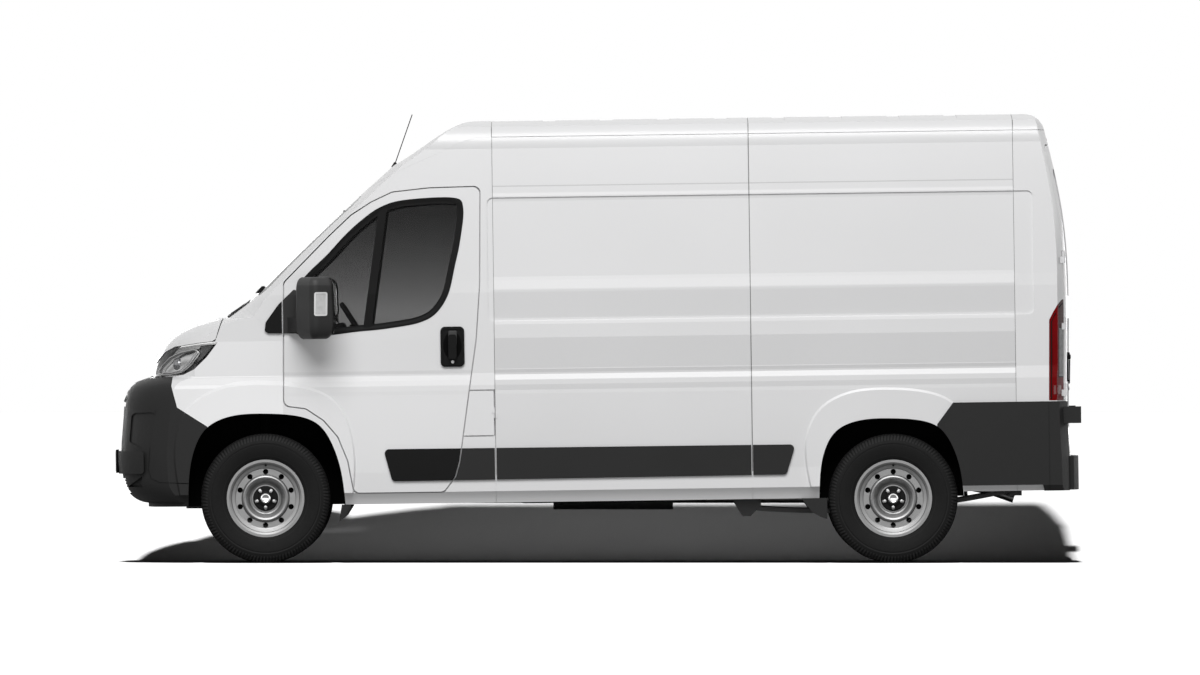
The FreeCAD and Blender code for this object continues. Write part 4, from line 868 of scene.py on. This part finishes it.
headlamp = {
    "outline": [(-2470, 1074), (-2449, 1128), (-2392, 1194), (-2338, 1223), (-2216, 1240), (-2112, 1254),
                (-2166, 1184), (-2236, 1118), (-2296, 1086), (-2352, 1075)],
    "bowl": [(-2452, 1084), (-2428, 1128), (-2378, 1178), (-2318, 1206), (-2238, 1222), (-2212, 1208),
             (-2262, 1140), (-2312, 1096), (-2366, 1082)],
    "lift": -0.034, "rim": 0.0055, "core": (-2352, 1142), "coreRadius": 0.034, "guide": 0.004,
    "profile": [(0.0, -0.022), (0.5, -0.0195), (0.85, -0.010), (0.97, 0.0), (1.12, -0.001), (1.22, 0.004),
                (1.18, 0.016), (0.9, 0.034), (0.0, 0.038)],
}


def makeHeadlamps():
    outer = resampled(rounded(headlamp["outline"], 14), 16)
    inner = resampled(rounded(headlamp["bowl"], 22), 12)
    for name, side in sides.items():
        find = lambda x, z, lift: onSide("headlamps", x, z, side, lift)
        way = (-0.4, side, 0)
        back = thick(patch(find, inset(outer, 4), headlamp["lift"], 6, way), 0.002)
        finish(back, "headlamp_housing_" + name, smoke)
        bowl = thick(patch(find, inner, headlamp["lift"] + 0.006, 6, way), 0.0015)
        finish(bowl, "headlamp_bowl_" + name, bowlLook, smooth=60)
        path = [find(p.x, p.y, -0.012) for p in inner]
        finish(tube(path + path[:1], headlamp["rim"], 10), "headlamp_rim_" + name, chrome, smooth=60)
        size = headlamp["coreRadius"]
        core = lathe([(size * share, depth) for share, depth in headlamp["profile"]], 40)
        facing = Vector((-0.80, side * 0.55, 0.06)).normalized()
        turn = Vector((0, -1, 0)).rotation_difference(facing).to_matrix().to_4x4()
        core = moved(core, find(*headlamp["core"], -0.030), turn)
        finish(core, "headlamp_projector_" + name, lensLook, smooth=60)
        strip = [find(a.x, a.y, -0.007) for a in inset(inner, 9)[len(inner) * 5 // 9:]]
        finish(tube(strip, headlamp["guide"], 8), "headlamp_guide_" + name, plateWhite, smooth=60)


def bowlMaterial():
    # Ribbed reflector: its ribs are striped light and dark in colour as painted reflections, over a bump of
    # the same ribs
    look = Look("lamp bowl", {"Metallic": 1.0, "Roughness": 0.16})
    wave = look.wave("DIAGONAL", 9.0)
    look.drive("Base Color", look.blend(wave, grey(0.42), grey(0.80)))
    look.bump(wave, 0.5, 0.004)
    return look.material


def lensMaterial():
    # Projector lens: glossy and coated, partly metallic, its grey varied by noise
    look = Look("projector lens", {"Roughness": 0.05, "Coat Weight": 1.0, "Metallic": 0.4})
    look.drive("Base Color", look.blend(look.noise(18.0), grey(0.16), grey(0.36, 0.02)))
    return look.material


bowlLook = bowlMaterial()
lensLook = lensMaterial()
makeHeadlamps()


tailLamp = {
    "edge": [(2535, 880), (2541, 1310), (2562, 1352), (2585, 1390), (2606, 1412)], "edgeSize": 0.0035,
    "reflector": ((2548, 2562, 2576, 2590), (905, 930, 955)),
}


def makeTailLamps():
    # A dark edge before each lamp on the side and a square reflector low down
    for name, side in sides.items():
        path = [onSide("tail_lamps", x, z, side, 0.0005) for x, z in tailLamp["edge"]]
        edge = tube([place for place in path if place is not None], tailLamp["edgeSize"], 8)
        finish(edge, "tail_lamp_edge_" + name, black, smooth=60)
        xs, zs = tailLamp["reflector"]
        rows = [[onSide("tail_lamps", x, z, side, 0.0014) for x in xs] for z in zs]
        finish(thick(sheet(rows, (0, side, 0)), 0.002), "tail_reflector_" + name, redEdge)


redEdge = plasticLook("dark red plastic", (0.10, 0.003, 0.004, 1), (0.15, 0.006, 0.006, 1), 0.2, coat=0.6)
makeTailLamps()
print("lamps made")


# Glass borders, wipers' panel and mirrors

doorBox = {"front": -1734, "rear": -632, "bottom": 410, "top": 2103}
windowShares = [(0.078, 0.672), (0.239, 0.786), (0.324, 0.845), (0.409, 0.894), (0.501, 0.934),
                (0.619, 0.956), (0.862, 0.962), (0.911, 0.930), (0.893, 0.824), (0.865, 0.742),
                (0.830, 0.650), (0.770, 0.590), (0.690, 0.561), (0.569, 0.546), (0.402, 0.535),
                (0.072, 0.528)]
screenShares = [(-0.86, 0.613), (0.86, 0.613), (0.775, 0.832), (-0.775, 0.832)]
bands = {"window": 28, "over": 7, "near": 8, "screen": 48, "lift": 0.0012}


def inDoor(a, b):
    return (doorBox["front"] + a * (doorBox["rear"] - doorBox["front"]),
            doorBox["bottom"] + b * (doorBox["top"] - doorBox["bottom"]))


def flowing(points, steps=6):
    # A closed curve that runs smoothly through its points
    out = []
    count = len(points)
    for i in range(count):
        a, b, c, d = (Vector(points[(i + k) % count]) for k in (-1, 0, 1, 2))
        for k in range(steps):
            t = k / steps
            square = (2 * a - 5 * b + 4 * c - d) * t ** 2
            cube = (3 * b - a - 3 * c + d) * t ** 3
            out.append(0.5 * (2 * b + (c - a) * t + square + cube))
    return out


def makeGlassBands():
    window = inset(resampled(flowing([inDoor(a, b) for a, b in windowShares]), 16), -bands["over"])
    width = bands["window"] + bands["over"]
    near = bands["near"]
    spots = ((0, 0), (near, 0), (-near, 0), (0, near), (0, -near))
    for name, side in sides.items():
        def find(x, z, lift):
            # The outermost face of the door and its glass close by, so that no edge stands through the band
            hits = [onSide(node + name, x + right, z + up, side)
                    for node in ("front_door_", "front_glass_") for right, up in spots]
            heights = [side * place.y for place in hits if place is not None]
            here = toWorld(x, 0, z)
            return Vector((here.x, side * (max(heights) + lift), here.z)) if heights else None
        border(find, window, width, bands["lift"], "window_band_" + name, black, "front_door_" + name,
               (0, side, 0), 0.0012, 0.0, 5)
    screen = resampled(rounded([(a * 1012, b * 2475) for a, b in screenShares], 60, 5), 24)
    find = lambda y, z, lift: onFront("windscreen", y, z, lift)
    border(find, screen, bands["screen"], bands["lift"], "screen_band", gloss, "body", (-1, 0, 1))


gloss = plasticLook("gloss black", grey(0.006), grey(0.010), 0.10, 300.0, 0.03)
makeGlassBands()

scuttle = {"front": -2046, "back": -1924, "half": 640, "lift": 0.002, "slots": 15, "rows": 6,
           "ribs": (-2030, -2005, -1980, -1955), "ribSize": 0.0028}


def makeScuttle():
    # Ribbed panel between the bonnet and the windscreen
    front, half = scuttle["front"], scuttle["half"]
    rows = []
    for k in range(scuttle["rows"] + 1):
        x = front + (scuttle["back"] - front) * k / scuttle["rows"]
        rows.append(mended([onTop("cab_frame", x, half * (m / 12 - 1), scuttle["lift"]) for m in range(25)]))
    finish(thick(sheet(rows, (0, 0, 1)), 0.003, 1.0), "scuttle_panel", black)
    bars = []
    for k in range(scuttle["slots"]):
        y = half * 0.92 * (2 * k / (scuttle["slots"] - 1) - 1)
        path = [onTop("cab_frame", x, y, 0.0045) for x in scuttle["ribs"]]
        bars.append(tube([place for place in path if place is not None], scuttle["ribSize"], 6))
    finish(joined(bars), "scuttle_ribs", black)


makeScuttle()

mirror = {
    "centre": (-1556, 1192, 1268), "yaw": math.radians(-30), "half": 90, "upper": (130, 318, 26),
    "lower": (34, 108, 18), "lift": 0.003, "lamp": (-1553, -1492, 1400, 1524), "cap": 1.545,
}


def mirrorPoint(along, across, up, side):
    # A point of the housing's own directions: along the van, across it and up, turned by the yaw
    x, y, z = mirror["centre"]
    cosine, sine = math.cos(mirror["yaw"]), math.sin(mirror["yaw"])
    return toWorld(x + along * cosine - across * sine, side * (y + along * sine + across * cosine), z + up)


def mirrorBack(name, side, across, up, lift):
    # Where the rear face of the housing lies
    start = mirrorPoint(400, across, up, side)
    way = (mirrorPoint(0, across, up, side) - start).normalized()
    return lifted(shoot("mirror_" + name, start, way), lift)


def makeMirrors():
    for name, side in sides.items():
        body = "front_door_" + name
        back = (math.cos(mirror["yaw"]), side * math.sin(mirror["yaw"]), 0)
        find = lambda a, b, lift: mirrorBack(name, side, a, b, lift)
        for label in ("upper", "lower"):
            low, high, corner = mirror[label]
            line = resampled(rounded(oblong(-mirror["half"], mirror["half"], low, high), corner, 5), 14)
            border(find, inset(line, -9), 16, 0.0045, "mirror_frame_" + label + "_" + name, gloss, body,
                   back, 0.009, 1.0)
            face = thick(patch(find, line, mirror["lift"], 5, back), 0.002)
            finish(face, "mirror_face_" + label + "_" + name, mirrorFace, body)
        x0, x1, z0, z1 = mirror["lamp"]
        line = resampled(rounded([(x0, z0), (x1, z0), (x1 + 3, z1), (x0 + 2, z1)], 7, 3), 6)
        find = lambda x, z, lift: onSide("mirror_" + name, x, z, side, lift)
        border(find, inset(line, -5), 9, 0.003, "mirror_lamp_frame_" + name, plateWhite, body,
               (0, side, 0), 0.006, 1.0)
        lens = thick(patch(find, line, 0.003, 4, (0, side, 0)), 0.002)
        finish(lens, "mirror_lamp_" + name, indicatorLook, body)


def indicatorMaterial():
    # Clear indicator: pale lens with upright flutes over a dark bulb seat
    look = Look("indicator lens", {"Roughness": 0.10, "Coat Weight": 1.0})
    wave = look.wave("X", 60.0)
    look.drive("Base Color", look.blend(look.noise(36.0, 2.0) * wave, grey(0.62), grey(0.16)))
    look.bump(wave, 0.4, 0.002)
    return look.material


def shellMaterial():
    # Mirror housing with its cap in a lighter grain
    look = Look("mirror shell", {"Roughness": 0.45, "Specular IOR Level": 0.2})
    x, y, z = look.axes()
    shade = look.blend(look.noise(5.0), grey(0.020), grey(0.026))
    look.drive("Base Color", look.blend(z > mirror["cap"], shade, grey(0.042)))
    edge = (z > mirror["cap"] - 0.0035) * (z < mirror["cap"])
    look.bump(look.noise(1200.0) * 0.2 - edge, 0.5, 0.002)
    return look.material


indicatorLook = indicatorMaterial()
shellLook = shellMaterial()
for name in sides:
    nodes["mirror_" + name].material_slots[0].material = shellLook
makeMirrors()
print("glass bands, scuttle and mirrors made")


# Handles and locks

handle = {
    "width": 133, "bottom": 1103, "top": 1327, "edge": 7, "lock": 1131, "scoop": (51.4, 81.5), "scoopZ": 1226,
    "places": [("left", "door_trim_left", -860, "front_door_left"),
               ("right", "door_trim_right", -860, "front_door_right"), ("slide", "side_trim", -530, "body")],
    "barrel": [(0, -0.0035), (0.0045, -0.0035), (0.005, -0.0028), (0.0085, -0.0028), (0.0098, 0.0)],
    "dish": [(1.0, 0.0), (0.98, -0.0008), (0.9, 0.0006), (0.6, 0.0009), (0.2, 0.0009)], "dishLift": 0.0016,
    "grip": (0.046, 0.020, 0.158), "gripLift": 0.0115, "gripTaper": 0.10, "gripBow": 0.005,
}


def makeHandles():
    # A scooped frame round each grip, with a near-black dish in the scoop as painted shade, and a lock barrel
    # below it
    long, high = handle["scoop"]
    turns = [2 * math.pi * k / 40 for k in range(40)]
    edge = handle["edge"]
    for name, node, start, body in handle["places"]:
        side = -1 if name == "left" else 1
        find = lambda x, z, lift: onSide(node, x, z, side, lift)
        frame = oblong(start + edge, start + handle["width"] - edge, handle["bottom"] + edge,
                       handle["top"] - edge)
        line = resampled(rounded(frame, 24, 5), 12)
        border(find, line, edge, 0.003, "handle_rim_" + name, black, body, (0, side, 0), 0.004)
        middle = start + handle["width"] / 2
        oval = mended([find(middle + long * math.cos(turn), handle["scoopZ"] + high * math.sin(turn), 0.0)
                       for turn in turns])
        centre = sum(oval, Vector()) / len(oval)
        far = min(side * place.y for place in oval)
        rows = []
        for share, drop in handle["dish"]:
            row = [centre + (place - centre) * share for place in oval]
            row = [Vector((place.x, side * (far + handle["dishLift"] + drop), place.z)) for place in row]
            rows.append(row + row[:1])
        # Painted shade: a near-black sheet lines the scoop where its recess falls into shade
        finish(thick(sheet(rows, (0, side, 0)), 0.0012), "handle_scoop_shade_" + name, feltAndShadeLook, body)
        at = (centre.x, side * (far + handle["gripLift"]), centre.z)
        grip = cuboid(handle["grip"], at, 0.0085, 4, level)
        for corner in grip.data.vertices:
            share = (corner.co.z - centre.z) / 0.08
            corner.co.x = centre.x + (corner.co.x - centre.x) * (1.0 + handle["gripTaper"] * share)
            corner.co.y -= side * handle["gripBow"] * share * share
        finish(grip, "handle_grip_" + name, gripLook, body, 60)
        turn = Matrix.Identity(4) if side < 0 else Matrix.Rotation(math.pi, 4, "Z")
        barrel = moved(lathe(handle["barrel"], 24), find(middle, handle["lock"], 0.0), turn)
        finish(barrel, "handle_lock_" + name, steel, body)


makeHandles()
print("handles made")


# Front and rear fittings

fittings = {
    "plate": (520, 112), "frontZ": 600, "rearY": -330, "rearZ": 1040, "boxZ": 1118, "badge": (58, 36),
    "badgeZ": 962, "badgeLean": math.radians(22), "doorHandle": (74, 1040), "brakeZ": 2330,
    "badgeProfile": [(0, -0.009), (0.7, -0.0085), (0.82, -0.0065), (0.84, -0.0095), (0.97, -0.009),
                     (1.0, -0.003), (1.0, 0.004), (0, 0.004)],
    "mesh": (("upper", 392, 912, 1028, 44), ("lower", 470, 426, 500, 52)), "meshBar": 0.0022,
    "box": (0.026, 0.46, 0.040), "boxLens": (0.010, 0.05, 0.008), "lensShift": 0.13,
    "rearPlate": (86, 250), "rearGrip": (0.012, 0.034, 0.165), "rearLock": -0.105,
    "barrel": [(0, -0.003), (0.006, -0.003), (0.0095, -0.002), (0.011, 0.002)],
    "strip": (6, range(600, 2281, 60), 0.0022),
}


def plaque(size, radius, depth):
    # A rounded rectangle standing across the van, its face towards -X
    width, height = size
    line = rounded(oblong(-width / 2, width / 2, -height / 2, height / 2), radius, 4)
    rows = [[Vector((0, p.x * k, p.y * k)) / 1000 for p in line + line[:1]] for k in (1, 0.9, 0.5, 0)]
    return bevelled(thick(sheet(rows, (-1, 0, 0)), depth / 1000, -1.0), 0.0012)


def numberPlate(name, at, turn, body, depth, lifts):
    # A blank plate in its holder
    width, height = fittings["plate"]
    rows = (("plate_holder_", 18, 14, depth, black), ("plate_", 0, 8, 3, plateWhite))
    for (label, more, radius, deep, look), lift in zip(rows, lifts):
        piece = moved(plaque((width + more, height + more), radius, deep), at + aft(lift), turn)
        finish(piece, label + name, look, body)


def makeFront():
    at = onFront("front_bumper", 0, fittings["frontZ"])
    numberPlate("front", at, Matrix.Rotation(-rake, 4, "Y"), "body", 9, (-0.006, -0.0085))

    # Plain oval badge on the grille, leaning as the slats' edges do
    long, high = fittings["badge"]
    disc = lathe(fittings["badgeProfile"], 56)
    disc.data.transform(Matrix.Rotation(-math.pi / 2, 4, "Z"))
    disc.data.transform(Matrix.Diagonal((1, long / 1000, high / 1000, 1)))
    lean = Matrix.Rotation(fittings["badgeLean"], 4, "Y")
    start = onFront("grille", 0, fittings["badgeZ"])
    finish(moved(disc, start + aft(0.004), lean), "grille_badge", looks["silver_wheel"])

    # Mesh behind the slats: fine bars across the openings
    for name, half, low, high, count in fittings["mesh"]:
        bars = []
        for k in range(count):
            y = half * (2 * k / (count - 1) - 1)
            ends = [onFront("grille", y, z) for z in (low + 14, high - 14)]
            if None not in ends:
                bars.append(tube([end + aft(0.012) for end in ends], fittings["meshBar"], 6))
        if bars:
            finish(joined(bars), "grille_mesh_" + name, black)


def makeRear():
    turn = Matrix.Rotation(math.pi, 4, "Z") @ Matrix.Rotation(rake, 4, "Y")
    left, right = "rear_door_left", "rear_door_right"
    at = onRear(left, fittings["rearY"], fittings["rearZ"])
    numberPlate("rear", at, turn, left, 7, (0.0045, 0.0072))

    # Lamp box over the plate, wedge-shaped, with two lenses beneath it
    at = onRear(left, fittings["rearY"], fittings["boxZ"])
    hood = cuboid(fittings["box"], at + aft(0.004), 0.008, 3)
    for corner in hood.data.vertices:
        if corner.co.x > at.x + 0.01 and corner.co.z > at.z:
            corner.co.z -= 0.012
    finish(hood, "plate_lamp_box", black, left)
    for label, sign in (("a", -1), ("b", 1)):
        shift = Vector((0.008, sign * fittings["lensShift"], -0.021))
        lens = cuboid(fittings["boxLens"], at + shift, 0.003)
        finish(lens, "plate_lamp_" + label, plateWhite, left)

    # Handle with its recess plate on the right rear door
    at = onRear(right, *fittings["doorHandle"])
    recess = moved(plaque(fittings["rearPlate"], 22, 5), at + aft(0.002), turn)
    finish(recess, "rear_handle_plate", black, right)
    grip = cuboid(fittings["rearGrip"], at + aft(0.007, 0.004), 0.0045, 4, level)
    finish(grip, "rear_handle_grip", looks["grey_plastic"], right, 60)
    barrel = lathe(fittings["barrel"], 24)
    barrel.data.transform(Matrix.Rotation(math.pi / 2, 4, "Z"))
    finish(moved(barrel, at + aft(0.006, fittings["rearLock"])), "rear_handle_lock", steel, right)

    # High brake lamp over the doors
    rows = [[onRear("rear_frame", -150 + 25 * k, fittings["brakeZ"] + up, 0.0015) for k in range(13)]
            for up in (-8, 0, 8)]
    if all(place is not None for row in rows for place in row):
        finish(thick(sheet(rows, (1, 0, 0)), 0.003, -1.0), "high_brake_lamp", redEdge)

    # Weather strip down the join of the doors, on the right-hand one
    y, heights, radius = fittings["strip"]
    path = [onRear(right, y, z, 0.0008) for z in heights]
    finish(tube([place for place in path if place is not None], radius, 6), "rear_door_strip", black, right)


makeFront()
makeRear()
print("front and rear fittings made")


# Cab

seat = {
    "ys": (-430, 90, 560), "front": -1260, "depth": 450, "bottom": 930, "thick": 130, "backHeight": 610,
    "backThick": 110, "lean": math.radians(10), "cushion": (0.434, 0.444, 0.118),
    "back": (0.096, 0.440, 0.590), "head": (0.085, 0.25, 0.17), "headUp": 92, "taper": 0.16,
    "voxel": 0.011, "steps": 16, "cap": 0.014, "pressure": 4.0,
}


def swollen(piece):
    # Blows a closed form up a little as cloth, then caps how far any point has moved
    modifier = piece.modifiers.new("remesh", "REMESH")
    modifier.mode = "VOXEL"
    modifier.voxel_size = seat["voxel"]
    settle(piece)
    before = [vertex.co.copy() for vertex in piece.data.vertices]
    blown = piece.modifiers.new("blown", "CLOTH")
    blown.settings.use_pressure = True
    blown.settings.uniform_pressure_force = seat["pressure"]
    blown.settings.effector_weights.gravity = 0
    blown.settings.quality = 4
    blown.settings.tension_stiffness = 25
    blown.collision_settings.use_collision = False
    blown.point_cache.frame_start = 1
    blown.point_cache.frame_end = seat["steps"]
    for frameNumber in range(1, seat["steps"] + 1):
        bpy.context.scene.frame_set(frameNumber)
    active(piece)
    bpy.ops.object.modifier_apply(modifier="blown")
    for vertex, old in zip(piece.data.vertices, before):
        shift = vertex.co - old
        if shift.length > seat["cap"]:
            vertex.co = old + shift.normalized() * seat["cap"]
    bpy.context.scene.frame_set(1)
    return piece


def channel(piece, axis, places, depth, width, face, way=1):
    # Presses sewn lines into one face of a pad, the one that looks up or down its axis
    up, along = "xyz".index(face), "xyz".index(axis)
    heights = [way * vertex.co[up] for vertex in piece.data.vertices]
    low, top = min(heights), max(heights)
    for vertex in piece.data.vertices:
        share = (way * vertex.co[up] - low) / (top - low)
        if share >= 0.55:
            near = min(abs(vertex.co[along] - place) for place in places)
            vertex.co[up] -= way * depth * math.exp(-(near / width) ** 2) * (share - 0.5) * 2
    return piece


def makeSeats():
    cushion = swollen(cuboid(seat["cushion"], bevel=0.034, segments=4))
    channel(cushion, "y", (-0.145, 0.145), 0.014, 0.010, "z")
    channel(cushion, "x", (-0.06, 0.06), 0.006, 0.008, "z")
    back = cuboid(seat["back"], bevel=0.036, segments=4)
    for vertex in back.data.vertices:
        share = vertex.co.z / seat["backHeight"] * 1000 + 0.5
        vertex.co.y *= 1.0 - seat["taper"] * max(0.0, share - 0.45) ** 1.5
    swollen(back)
    channel(back, "y", (-0.135, 0.135), 0.012, 0.010, "x", -1)
    channel(back, "z", (-0.10, 0.12), 0.006, 0.008, "x", -1)
    head = swollen(cuboid(seat["head"], bevel=0.036, segments=4))
    up = Vector((math.sin(seat["lean"]), 0, math.cos(seat["lean"])))
    out = Vector((math.cos(seat["lean"]), 0, -math.sin(seat["lean"])))
    tilt = Matrix.Rotation(-rake, 4, "Y")
    lean = Matrix.Rotation(seat["lean"] - rake, 4, "Y")
    tall = seat["backHeight"]
    for label, y in zip("abc", seat["ys"]):
        foot = Vector((seat["front"] + seat["depth"] + 1, y, seat["bottom"] + 19))
        foot += out * (seat["backThick"] / 2)
        middle = toWorld(seat["front"] + seat["depth"] / 2, y, seat["bottom"] + seat["thick"] / 2)
        rows = ((cushion, middle, tilt, "seat_cushion_", "seat_cushions", 0.8),
                (back, toWorld(*foot + up * (tall / 2)), lean, "seat_back_", "seat_backs", 0.8),
                (head, toWorld(*foot + up * (tall + seat["headUp"])), lean, "head_rest_", None, 0.85))
        for form, place, turn, name, node, fill in rows:
            slot = "seat_cloth" if node else None
            piece = finish(moved(copyOf(form), place, turn), name + label, cloth, "body", 80, slot)
            if node and label == "a":
                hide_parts(node)
        posts = [tube([toWorld(*foot + up * (tall + rise) + Vector((0, shift, 0))) for rise in (-40, 40)],
                      0.006, 10) for shift in (-55, 55)]
        finish(joined(posts), "head_rest_posts_" + label, steel)
    for piece in (cushion, back, head):
        bpy.data.objects.remove(piece)


makeSeats()
print("seats made")


# Dashboard, inside mirror and door cards

cab = {
    "vents": (-800, -165, 165, 800), "vent": (128, 62), "ventZ": 1268, "screen": (236, 128), "screenZ": 1185,
    "hood": (0.15, 0.34, 0.060), "hoodAt": (-1462, -430), "glove": (240, 700, 1035, 1165),
    "lever": (-1392, -95, 1045), "mirrorZ": 1968, "mirror": (236, 62), "rest": (-1350, -880, 1148),
    "knob": [(0, -0.024), (0.014, -0.022), (0.021, -0.010), (0.021, 0.004), (0.014, 0.020), (0.009, 0.026),
             (0, 0.026)],
    "gaiter": [(0, -0.034), (0.012, -0.032), (0.016, -0.018), (0.028, -0.004), (0.042, 0.008), (0.050, 0.024),
               (0, 0.024)],
    "ventBar": (0.010, 0.104, 0.005), "restSize": (0.052, 0.046), "restRise": 0.022,
    "pull": [(-0.13, 0.002, 0), (-0.12, 0.034, 0.004), (-0.06, 0.042, 0.010), (0.0, 0.042, 0.012),
             (0.03, 0.034, 0.012), (0.04, 0.002, 0.012)],
}


def facingBack(name, size, radius, depth, at, out, look):
    # A plaque that faces the back of the van
    piece = moved(plaque(size, radius, depth), at + aft(out), Matrix.Rotation(math.pi, 4, "Z"))
    finish(piece, name, look)


def makeDash():
    for label, y in zip("abcd", cab["vents"]):
        at = onRear("dashboard", y, cab["ventZ"])
        facingBack("vent_frame_" + label, cab["vent"], 14, 9, at, 0.007, black)
        bars = [cuboid(cab["ventBar"], at + aft(0.0095, (k - 1.5) * 0.012), 0.0015, turn=(0, 0.5, 0))
                for k in range(4)]
        finish(joined(bars), "vent_bars_" + label, looks["grey_plastic"])
    at = onRear("dashboard", 0, cab["screenZ"])
    facingBack("dash_screen_frame", cab["screen"], 14, 14, at, 0.012, black)
    facingBack("dash_screen", [size - 16 for size in cab["screen"]], 8, 4, at, 0.0142, gloss)
    dials = onTop("dashboard", *cab["hoodAt"])
    hood = cuboid(cab["hood"], dials + aft(0, 0.024), 0.022, 4)
    for corner in hood.data.vertices:
        if corner.co.x < dials.x and corner.co.z > dials.z + 0.02:
            corner.co.z -= 0.024
    finish(hood, "dash_hood", black, smooth=60)
    line = resampled(rounded(oblong(*cab["glove"]), 22, 5), 24)
    find = lambda y, z, lift: onRear("dashboard", y, z, lift)
    border(find, line, 5, 0.001, "glove_box_edge", black, "body", (1, 0, 0), 0.002, 1.0)


def makeLever():
    foot = toWorld(*cab["lever"])
    stick = tube([foot, foot + aft(0.045, 0.03), foot + aft(0.075, 0.075)], 0.007, 10)
    finish(stick, "gear_lever", steel)
    upright = Matrix.Rotation(-math.pi / 2, 4, "X")
    for name, steps, place, lean in (("knob", 24, aft(0.079, 0.088), 0), ("gaiter", 28, aft(0), 0.9)):
        piece = lathe(cab[name], steps)
        piece.data.transform(upright)
        finish(moved(piece, foot + place, Matrix.Rotation(lean, 4, "Y")), "gear_" + name, black, smooth=60)


def makeInsideMirror():
    at = onFront("windscreen", 0, cab["mirrorZ"]) + aft(0.075)
    facingBack("inside_mirror_shell", cab["mirror"], 28, 22, at, 0.0, black)
    facingBack("inside_mirror_face", [size - 12 for size in cab["mirror"]], 23, 3, at, 0.002, mirrorFace)
    finish(tube([at + aft(-0.066, 0.012), at + aft(-0.018, 0.006)], 0.008, 12), "inside_mirror_stem", black)


def makeDoorCards():
    # Arm rest and pull on the inside of each front door
    low, high, z = cab["rest"]
    length = (high - low) / 1000
    for name, side in sides.items():
        place, normal = shoot("front_door_" + name, toWorld((low + high) / 2, 0, z), (0, side, 0))
        body = "front_door_" + name
        rest = cuboid((length, *cab["restSize"]), place + Vector((0, -side * 0.024, 0)), 0.014, 4, level)
        for corner in rest.data.vertices:
            corner.co.z += cab["restRise"] * ((corner.co.x - place.x) / length + 0.5) ** 2
        finish(rest, "door_rest_" + name, black, body, 60)
        path = [place + Vector((x, -side * out, 0.05 + up)) for x, out, up in cab["pull"]]
        finish(tube(path, 0.009, 12), "door_pull_" + name, looks["grey_plastic"], body, 60)


makeDash()
makeLever()
makeInsideMirror()
makeDoorCards()
print("cab fitted")
